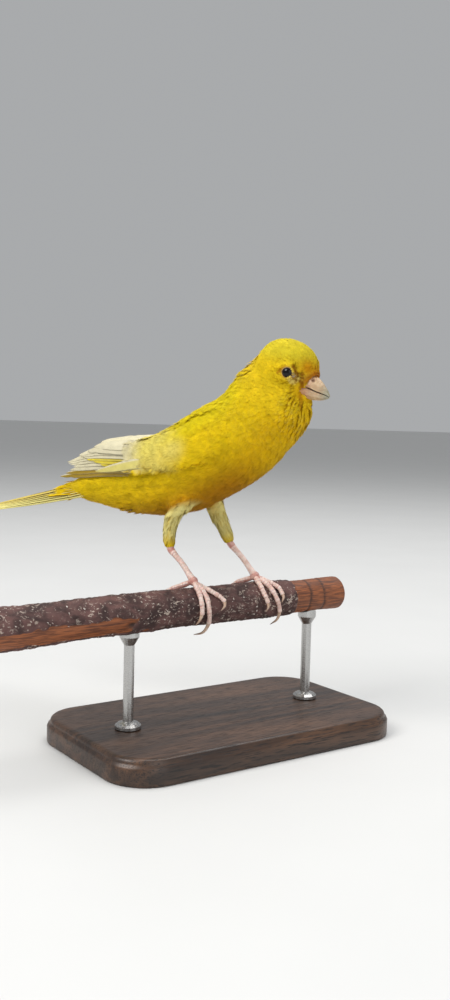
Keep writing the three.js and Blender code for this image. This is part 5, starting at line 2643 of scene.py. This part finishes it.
class GeometryTree(Nodes):
    """A Geometry Nodes tree with named inputs."""

    def __init__(self, name: str, inputs: dict[str, str]):
        """Makes the tree.

        Args:
            name: its name.
            inputs: the names of its inputs, each with its kind of socket.
        """
        self.tree = bpy.data.node_groups.new(name, "GeometryNodeTree")
        self.tree.interface.new_socket("Geometry", in_out="INPUT", socket_type="NodeSocketGeometry")
        for label, kind in inputs.items():
            self.tree.interface.new_socket(label, in_out="INPUT", socket_type=kind)
        self.tree.interface.new_socket("Geometry", in_out="OUTPUT", socket_type="NodeSocketGeometry")
        self.given = self.tree.nodes.new("NodeGroupInput").outputs

    def attribute(self, name: str, kind: str = "FLOAT") -> NodeSocket:
        """The values of a named attribute."""
        made = self.node("GeometryNodeInputNamedAttribute", {"data_type": kind}, Name=name)
        return made.outputs["Attribute"]

    def end(self, geometry: NodeSocket, material: NodeSocket) -> None:
        """Realizes the copies, gives them their material and closes the tree.

        Args:
            geometry: the socket that gives the copies.
            material: the socket that gives their material.
        """
        real = self.node("GeometryNodeRealizeInstances", Geometry=geometry).outputs["Geometry"]
        dressed = self.node("GeometryNodeSetMaterial", Geometry=real, Material=material).outputs["Geometry"]
        self.node("NodeGroupOutput", Geometry=dressed)

    def run(self, source: Object, name: str, values: dict) -> Mesh:
        """Runs the tree on an object and gives the plain mesh.

        Args:
            source: the object it works on, which is used up.
            name: the new mesh's name.
            values: what each named input takes.

        Returns:
            The mesh.
        """
        modifier = source.modifiers.new("nodes", "NODES")
        modifier.node_group = self.tree
        items = self.tree.interface.items_tree
        sockets = {item.name: item.identifier for item in items if item.in_out == "INPUT"}
        for label, value in values.items():
            modifier[sockets[label]] = value
        return plain_mesh(source, name)


def scute_tree() -> GeometryTree:
    """Sets overlapping plates at a pitch along each path, turned outwards and sized to the limb there.

    Returns:
        The tree.
    """
    made = GeometryTree(
        "scutes_along_paths",
        {
            "Plate": "NodeSocketObject",
            "Pitch": "NodeSocketFloat",
            "Lap": "NodeSocketFloat",
            "Finish": "NodeSocketMaterial",
        },
    )
    curve = made.node("GeometryNodeMeshToCurve", Mesh=made.given["Geometry"]).outputs["Curve"]
    pitch = made.given["Pitch"]
    spots = made.node("GeometryNodeResampleCurve", {"mode": "LENGTH"}, Curve=curve, Length=pitch)
    tangent = made.node("GeometryNodeInputTangent").outputs["Tangent"]
    ahead = made.node("FunctionNodeAlignRotationToVector", {"axis": "X"}, Vector=tangent).outputs["Rotation"]
    turned = made.node(
        "FunctionNodeAlignRotationToVector",
        {"axis": "Z", "pivot_axis": "X"},
        Rotation=ahead,
        Vector=made.attribute("Outward", "FLOAT_VECTOR"),
    )
    span, reach = made.sum(pitch, made.given["Lap"], "MULTIPLY"), made.attribute("Reach")
    size = made.node("ShaderNodeCombineXYZ", X=span, Y=reach, Z=reach).outputs["Vector"]
    plate = made.node("GeometryNodeObjectInfo", Object=made.given["Plate"]).outputs["Geometry"]
    plates = made.node(
        "GeometryNodeInstanceOnPoints",
        Points=spots.outputs["Curve"],
        Instance=plate,
        Rotation=turned.outputs["Rotation"],
        Scale=size,
    )
    made.end(plates.outputs["Instances"], made.given["Finish"])
    return made


def flake_tree() -> GeometryTree:
    """Strews small flakes over a surface, thicker where it is marked, each turned and sized at random.

    Returns:
        The tree.
    """
    made = GeometryTree(
        "flakes_on_bark",
        {
            "Flake": "NodeSocketObject",
            "Density": "NodeSocketFloat",
            "Smallest": "NodeSocketVector",
            "Largest": "NodeSocketVector",
            "Seed": "NodeSocketInt",
            "Finish": "NodeSocketMaterial",
        },
    )
    seed = made.given["Seed"]
    inputs = {"Mesh": made.given["Geometry"], "Seed": seed}
    inputs["Density"] = made.sum(made.given["Density"], made.attribute("Flaky"), "MULTIPLY")
    spots = made.node("GeometryNodeDistributePointsOnFaces", **inputs)
    spin = made.node("FunctionNodeRandomValue", Seed=seed)
    spin.inputs[3].default_value = 2 * math.pi
    turn = made.node("ShaderNodeCombineXYZ", Z=spin.outputs[1]).outputs["Vector"]
    spun = made.node(
        "FunctionNodeRotateRotation",
        {"rotation_space": "LOCAL"},
        Rotation=spots.outputs["Rotation"],
        Rotate_By=made.node("FunctionNodeEulerToRotation", Euler=turn).outputs["Rotation"],
    )
    size = made.node("FunctionNodeRandomValue", {"data_type": "FLOAT_VECTOR"}, Seed=seed)
    made.tree.links.new(made.given["Smallest"], size.inputs[0])
    made.tree.links.new(made.given["Largest"], size.inputs[1])
    flakes = made.node(
        "GeometryNodeInstanceOnPoints",
        Points=spots.outputs["Points"],
        Instance=made.node("GeometryNodeObjectInfo", Object=made.given["Flake"]).outputs["Geometry"],
        Rotation=spun.outputs["Rotation"],
        Scale=size.outputs[0],
    )
    made.end(flakes.outputs["Instances"], made.given["Finish"])
    return made


@dataclass
class Feet:
    """The bare legs: shanks and toes under one skin, their scutes and their claws."""

    legs: tuple = LEGS
    grain: float = 0.15
    rounds: int = 4
    pitch: float = 0.95
    lap: float = 1.2
    claw_radius: float = 0.6
    claw_point: float = 0.09
    shank_steps: int = 60
    toe_steps: int = 50
    scute_steps: int = 40
    shank_scutes: tuple = (0.26, 0.93)
    toe_scutes: tuple = (0.16, 0.97)
    claw_steps: int = 28
    claw_sides: int = 18

    def build(self, skin_finish: Material, scute_finish: Material, claw_finish: Material) -> None:
        """Makes both legs.

        Args:
            skin_finish: the material of the bare skin.
            scute_finish: the material of the plates on it.
            claw_finish: the material of the claws.
        """
        tree, plate = scute_tree(), self._plate()
        for leg in self.legs:
            self._skin(leg, skin_finish)
            self._scutes(leg, tree, plate, scute_finish)
            for name in leg.toes:
                self._claw(leg, name, claw_finish)
        bpy.data.objects.remove(plate)

    @staticmethod
    def _joints(share: Array) -> Array:
        """How much thicker the shank is at its ankle and its heel, at shares of its length."""
        return 1 + 0.3 * np.exp(-(((share - 0.18) / 0.1) ** 2)) + 0.34 * np.exp(-(((1 - share) / 0.14) ** 2))

    def _skin(self, leg: Leg, finish: Material) -> None:
        """Makes the shank and toes of one leg as one skin.

        Args:
            leg: the leg.
            finish: its material.
        """
        share = np.linspace(0, 1, self.shank_steps)
        side = BRANCH.axes()[0]
        path = leg.shank().even(self.shank_steps)
        forms = [loft(limb(path, leg.shank_radius * self._joints(share), side))]
        turn = np.linspace(0.02, math.pi - 0.02, 14)
        ball = leg.heel() + np.stack([0 * turn, 0 * turn, -leg.heel_radius * np.cos(turn)], -1)
        forms.append(loft(limb(ball, leg.heel_radius * np.sin(turn), side)))
        for name in leg.toes:
            line, ends = leg.toe(name)
            along = np.linspace(0, 1, self.toe_steps)
            rounded = np.where(along > 0.96, 1 - ((along - 0.96) / 0.04) ** 2 * 0.35, 1)
            path = line.even(self.toe_steps, 0, ends)
            forms.append(loft(limb(path, leg.toe_reach(along) * rounded, side)))
        mesh = remeshed(mesh_of(f"leg_{leg.side}_skin", *joined(forms)), self.grain)
        mesh.name = f"leg_{leg.side}_skin"
        relax(mesh, self.rounds)
        points = points_of(mesh)
        rub = np.array([noise.noise(Vector(point) * 0.9) for point in points.tolist()])
        tone = blend(Hue.FLESH.light, Hue.SCUTE.light, ease(-0.3, 0.5, rub) * 0.6)
        paint(mesh, tone)
        finish_piece(new_object(mesh, finish), (f"tarsus_{leg.side}", f"foot_{leg.side}"))

    @staticmethod
    def _plate() -> Object:
        """Makes one scute for a limb of radius one and length one.

        Returns:
            A closed arch whose rim sinks into the skin.
        """
        rows, columns = 6, 11
        along = np.linspace(-0.5, 0.5, rows)
        turn = np.radians(np.linspace(-104, 104, columns))
        rounded = np.sqrt(np.maximum(0, 1 - (2 * along) ** 4))[:, None]
        bulge = 1.0 + 0.09 * rounded * np.cos(turn * 0.82)[None] ** 0.5
        bulge = bulge + 0.05 * (along + 0.5)[:, None] - 0.05

        def arch(reach: Array) -> Array:
            """Points of an arch at this reach."""
            flat = np.broadcast_to(along[:, None], reach.shape)
            return np.stack([flat, reach * np.sin(turn)[None], reach * np.cos(turn)[None]], -1)

        over, under = arch(bulge), arch(np.full((rows, columns), 0.86))
        rings = np.concatenate([over, under[:, ::-1]], axis=1)
        mesh = mesh_of("scute_plate", *loft(rings / MM))
        face_outwards(mesh)
        return new_object(mesh)

    def _scutes(self, leg: Leg, tree: GeometryTree, plate: Object, finish: Material) -> None:
        """Lays the rows of plates down the front of the shank and over the top of each toe.

        Args:
            leg: the leg.
            tree: the tree that sets plates along paths.
            plate: one plate.
            finish: the plates' material.
        """
        count, (first, last) = self.scute_steps, self.shank_scutes
        path = leg.shank().even(count, first, last)
        front = np.broadcast_to(unit(np.array([1.0, -0.35, 0.0])), path.shape)
        rows = [(path, front, leg.shank_radius * self._joints(np.linspace(first, last, count)))]
        first, last = self.toe_scutes
        run, _, _ = BRANCH.axes()
        middle = np.array([0, 0, BRANCH.height])
        for name in leg.toes:
            line, ends = leg.toe(name)
            path = line.even(count, first * ends, last * ends)
            axis = middle + run * ((path - middle) @ run)[:, None]
            rows.append((path, unit(path - axis), leg.toe_reach(np.linspace(first, last, count))))
        points, outward, reach = (np.concatenate(column) for column in zip(*rows))
        steps = [row * count + step for row in range(len(rows)) for step in range(count - 1)]
        mesh = bpy.data.meshes.new("scute_paths")
        mesh.from_pydata((points * MM).tolist(), [(step, step + 1) for step in steps], [])
        directions = mesh.attributes.new("Outward", "FLOAT_VECTOR", "POINT")
        directions.data.foreach_set("vector", outward.ravel())
        mark(mesh, "Reach", reach * MM)
        values = {"Plate": plate, "Pitch": self.pitch * MM, "Lap": self.lap, "Finish": finish}
        made = tree.run(new_object(mesh), f"leg_{leg.side}_scutes", values)
        paint(made, np.tile(Hue.SCUTE.light, (len(made.vertices), 1)))
        finish_piece(new_object(made, finish))

    def _claw(self, leg: Leg, name: str, finish: Material) -> None:
        """Makes one claw, from inside the toe's end to its point.

        Args:
            leg: its leg.
            name: its toe.
            finish: its material.
        """
        line, ends = leg.toe(name)
        path = line.even(self.claw_steps, ends - 0.02, 1)
        share = np.linspace(0, 1, self.claw_steps)
        radius = lerp(self.claw_radius, self.claw_point, share**1.3)
        rings = limb(path, radius, BRANCH.axes()[0], self.claw_sides, 1.15)
        mesh = mesh_of(f"claw_{leg.side}_{name}_horn", *loft(rings))
        along = np.append(np.repeat(share, self.claw_sides), [0, 1])
        paint(mesh, blend(Hue.CLAW.light, Hue.CLAW.light * 0.55, along**2))
        face_outwards(mesh)
        finish_piece(new_object(mesh, finish), (f"claw_{leg.side}_{name}",))


@dataclass
class Branch:
    """The cut length of branch, with cracked bark, a peeled strip and a bare end."""

    line: BranchLine = BRANCH
    step: float = 0.4
    sides: int = 104
    relief: float = 0.28
    peel: tuple = (-90.0, -36.0)
    peel_angle: float = 118.0
    peel_width: float = 30.0
    pit: float = -37.5
    rings: tuple = (33.5, 39.5)
    flake_density: float = 2.4e5
    smallest: tuple = (0.25, 0.18, 0.1)
    largest: tuple = (0.85, 0.55, 0.22)
    seed: int = 5

    def build(self, finish: Material, flake_finish: Material) -> None:
        """Makes the branch and strews its bark with flakes.

        Args:
            finish: the material of bark and wood.
            flake_finish: the material of the loose flakes.
        """
        mesh = self._bark()
        copy, flake = new_object(mesh.copy()), self._flake()
        values = {
            "Flake": flake,
            "Density": self.flake_density,
            "Smallest": tuple(side * MM for side in self.smallest),
            "Largest": tuple(side * MM for side in self.largest),
            "Seed": self.seed,
            "Finish": flake_finish,
        }
        flakes = flake_tree().run(copy, "branch_flakes", values)
        bpy.data.objects.remove(flake)
        finish_piece(new_object(mesh, finish), ("perch",))
        finish_piece(new_object(flakes, flake_finish))

    def _bark(self) -> Mesh:
        """Shapes bark and wood, and marks where the wood is bare, ringed with scars or flaky.

        Returns:
            The branch's mesh.
        """
        first, last = self.line.ends
        along = np.arange(first, last + self.step / 2, self.step)
        angle = np.linspace(0, 360, self.sides, endpoint=False)
        along, angle = np.meshgrid(along, angle, indexing="ij")
        base = self.line.about(along, angle, self.line.radius)
        clouds = ((6.0, 0), (2.2, 7), (0.8, 13))
        coarse, middle, fine = (self._cloud(base, size, shift) for size, shift in clouds)
        turn = (angle - self.peel_angle + 180) % 360 - 180
        strip = ease(self.peel_width, self.peel_width - 7, np.abs(turn + 14 * coarse + 6 * middle))
        strip *= ease(self.peel[1] + 4, self.peel[1] - 4, along + 9 * coarse)
        pit = np.exp(-(((along - self.pit) / 2.4) ** 2) - ((turn / 12) ** 2))
        bark_end = self.line.bark_end
        bare_end = ease(bark_end - 0.6, bark_end + 0.5, along + 0.9 * middle)
        bare = np.maximum(strip, bare_end)
        ring = sum(np.exp(-(((along - place + 0.4 * coarse) / 0.5) ** 2)) for place in self.rings)
        swell = 0.12 * np.sin(along / 7) - 0.005 * np.minimum(0, along + 22)
        knots = 0.1 * np.sin(3 * np.radians(angle) + along / 5)
        bark = self.relief * (0.5 * coarse + 0.8 * middle + 0.7 * fine) * (1 - bare) + 0.08 * middle * bare
        bevel = self.line.bevel
        rim = np.minimum(ease(0, bevel, along - first), ease(0, bevel, last - along))
        reach = self.line.radius + swell + knots + bark
        reach = reach - self.line.bark_thick * bare - 0.5 * pit - 0.22 * ring * bare_end
        reach -= bevel * (1 - rim)
        mesh = mesh_of("branch_bark", *loft(self.line.about(along, angle, reach)))
        scars = np.clip(ring * bare_end * 0.8 + pit, 0, 1)
        flaky = (1 - bare) * ease(-0.25, 0.35, middle + 0.3 * coarse)
        for name, values, at_poles in (("Bare", bare, 1), ("Ring", scars, 0), ("Flaky", flaky, 0)):
            mark(mesh, name, np.append(values.ravel(), [at_poles, at_poles]))
        face_outwards(mesh)
        return mesh

    @staticmethod
    def _cloud(places: Array, size: float, shift: float) -> Array:
        """Reads smooth noise over the branch.

        Args:
            places: the points of the branch.
            size: how far apart the noise's blots are.
            shift: sets one cloud apart from another.

        Returns:
            The value at each place.
        """
        offset = Vector((shift, 0, 0))
        values = [noise.noise(Vector(place) / size + offset) for place in places.reshape(-1, 3).tolist()]
        return np.array(values).reshape(places.shape[:-1])

    @staticmethod
    def _flake() -> Object:
        """Makes a closed curled chip of radius one half.

        Returns:
            The chip, for the flakes' tree.
        """
        turn = np.linspace(0, 2 * math.pi, 7, endpoint=False)
        reach = 0.5 * (1 + 0.22 * np.sin(turn * 2 + 0.6) + 0.1 * np.cos(turn * 3))
        rim = np.stack([reach * np.cos(turn), reach * np.sin(turn), 0.18 * np.cos(turn)], -1)
        levels = ((0.55, 0.34), (1.0, 0.12), (0.9, -0.2))
        rings = np.stack([rim * [share, share, 1] + [0, 0, height] for share, height in levels])
        points, quads, tris = loft(rings)
        mesh = mesh_of("bark_flake", points / MM, quads, tris)
        face_outwards(mesh)
        return new_object(mesh)


@dataclass
class DisplayStand:
    """The walnut base and the two steel rods that hold the branch."""

    length: float = 108.0
    width: float = 64.0
    height: float = 8.0
    corner: float = 14.0
    turn: float = BRANCH_TURN
    corner_steps: int = 14
    rods: tuple = ("stand_rod_near", "stand_rod_far")
    profile: tuple = (
        (0.6, 0.0), (0.1, 0.3), (0.0, 0.9), (0.0, 5.2), (0.3, 5.9), (0.9, 6.3), (1.0, 6.8), (1.2, 7.5),
        (1.8, 8.0),
    )

    def build(self, wood: Material, steel: Material) -> None:
        """Makes the base with its moulded edge, and finishes the rods.

        Args:
            wood: the base's material.
            steel: the rods' material.
        """
        matrix = np.array(Matrix.Rotation(math.radians(self.turn), 3, "Z"))
        rings = [self._outline(inset, height) @ matrix.T for inset, height in self.profile]
        bottom, top = rings[0], rings[-1]
        under = [bottom * [share, share, 1] for share in (0.5, 0.97)]
        over = [top * [share, share, 1] for share in (0.97, 0.5)]
        mesh = mesh_of("stand_base_wood", *loft(np.array([*under, *rings, *over])))
        face_outwards(mesh)
        finish_piece(new_object(mesh, wood), ("stand_base",))
        for node in self.rods:
            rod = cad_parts[node]
            rod.data.materials.clear()
            rod.data.materials.append(steel)
            log.info("%s: dressed in %s", node, steel.name)

    def _outline(self, inset: float, height: float) -> Array:
        """Draws the base's outline with its round corners.

        Args:
            inset: how far it lies inside the base's length and width.
            height: how high it lies.

        Returns:
            The points, one a row.
        """
        radius, quarter = self.corner - inset, math.pi / 2
        reach = np.array([self.length / 2 - self.corner, self.width / 2 - self.corner])
        points = []
        for number, way in enumerate(((1, 1), (-1, 1), (-1, -1), (1, -1))):
            for angle in np.linspace(0, quarter, self.corner_steps) + number * quarter:
                points.append(reach * way + radius * np.array([math.cos(angle), math.sin(angle)]))
        return np.column_stack([points, np.full(len(points), height)])


@dataclass(frozen=True)
class Lamp:
    """A square soft light that faces the bird, in metres and watts."""

    name: str
    place: tuple
    size: float
    power: float
    tint: tuple


@dataclass
class Studio:
    """The camera, the soft lights and the floor, in metres."""

    place: tuple = (0.15763, -0.29757, 0.10603)
    azimuth: float = 28.0
    pitch: float = 4.485
    roll: float = 1.4
    lens: float = 36.72
    sensor: float = 36.0
    floor: float = 30.0
    lamps: tuple = (
        Lamp("key", (-0.35, -0.75, 0.85), 0.6, 8.8, (1.0, 0.985, 0.96)),
        Lamp("fill", (0.85, -0.45, 0.4), 0.8, 2.4, (0.95, 0.98, 1.0)),
        Lamp("top", (0.1, 0.3, 1.1), 0.9, 8.4, (1.0, 1.0, 1.0)),
    )
    lit: tuple = (0.0, 0.0, 0.09)
    sky: tuple = (0.9, 0.92, 0.94, 1)
    sky_strength: float = 0.44

    def build(self, floor_finish: Material) -> None:
        """Sets everything up.

        Args:
            floor_finish: the floor's material.
        """
        self._camera()
        for lamp in self.lamps:
            self._light(lamp)
        world = bpy.data.worlds.new("studio_world")
        bpy.context.scene.world = world
        world.use_nodes = True
        background = world.node_tree.nodes["Background"]
        background.inputs["Color"].default_value = self.sky
        background.inputs["Strength"].default_value = self.sky_strength
        bpy.context.scene.view_settings.view_transform = "Standard"
        half = self.floor / 2 / MM
        corners = np.array([[-half, -half, 0], [half, -half, 0], [half, half, 0], [-half, half, 0]], float)
        floor = new_object(mesh_of("floor", corners, np.array([[0, 1, 2, 3]])), floor_finish)

    def _camera(self) -> None:
        """Sets the camera where the photograph's stood."""
        turn, pitch, roll = (math.radians(angle) for angle in (self.azimuth, self.pitch, self.roll))
        right = Vector((math.cos(turn), math.sin(turn), 0))
        level = math.cos(pitch)
        ahead = Vector((-math.sin(turn) * level, math.cos(turn) * level, -math.sin(pitch)))
        up = right.cross(ahead)
        across = right * math.cos(roll) + up * math.sin(roll)
        upright = up * math.cos(roll) - right * math.sin(roll)
        matrix = Matrix((across, upright, -ahead)).transposed().to_4x4()
        matrix.translation = Vector(self.place)
        data = bpy.data.cameras.new("camera")
        data.lens = self.lens
        data.sensor_width = self.sensor
        data.clip_start = 0.01
        camera = bpy.data.objects.new("camera", data)
        bpy.context.scene.collection.objects.link(camera)
        camera.matrix_world = matrix
        bpy.context.scene.camera = camera

    def _light(self, lamp: Lamp) -> None:
        """Sets up one light.

        Args:
            lamp: its place, size, power and tint.
        """
        data = bpy.data.lights.new(lamp.name, "AREA")
        data.size = lamp.size
        data.energy = lamp.power
        data.color = lamp.tint
        light = bpy.data.objects.new(lamp.name, data)
        bpy.context.scene.collection.objects.link(light)
        light.location = lamp.place
        light.rotation_euler = (Vector(lamp.place) - Vector(self.lit)).to_track_quat("Z", "Y").to_euler()


def main() -> None:
    """Builds every part of the model in order."""
    logging.basicConfig(level=logging.INFO, format="%(name)s: %(message)s")
    Studio().build(FloorFinish().material())
    panels = tuple(WingPanel(side) for side in SIDES.values())
    plan = CoatPlan(Course(), panels)
    markings = Markings(plan)
    plumage, vanes = PlumageFinish().material(), VaneFinish().material()
    skin = BodySkin(plan, markings)
    body = skin.build(skin.surface(), plumage)
    bill = Bill()
    bill.build(HornFinish("bill_horn").material())
    Coat(plan, markings).build(body, bill.surface(), plumage)
    for side, panel in zip(SIDES, panels):
        WingFeathers(side, panel).build(vanes)
    TailFeathers().build(vanes)
    Eyes().build(EyeFinish().material())
    Feet().build(
        ScalyFinish("leg_skin").material(),
        ScalyFinish("leg_scutes", crease=0.5, roughness=0.42).material(),
        HornFinish("claw_horn", roughness=0.34).material(),
    )
    Branch().build(BranchFinish().material(), FlakeFinish().material())
    DisplayStand().build(WalnutFinish().material(), SteelFinish().material())


if __name__ == "__main__":
    main()
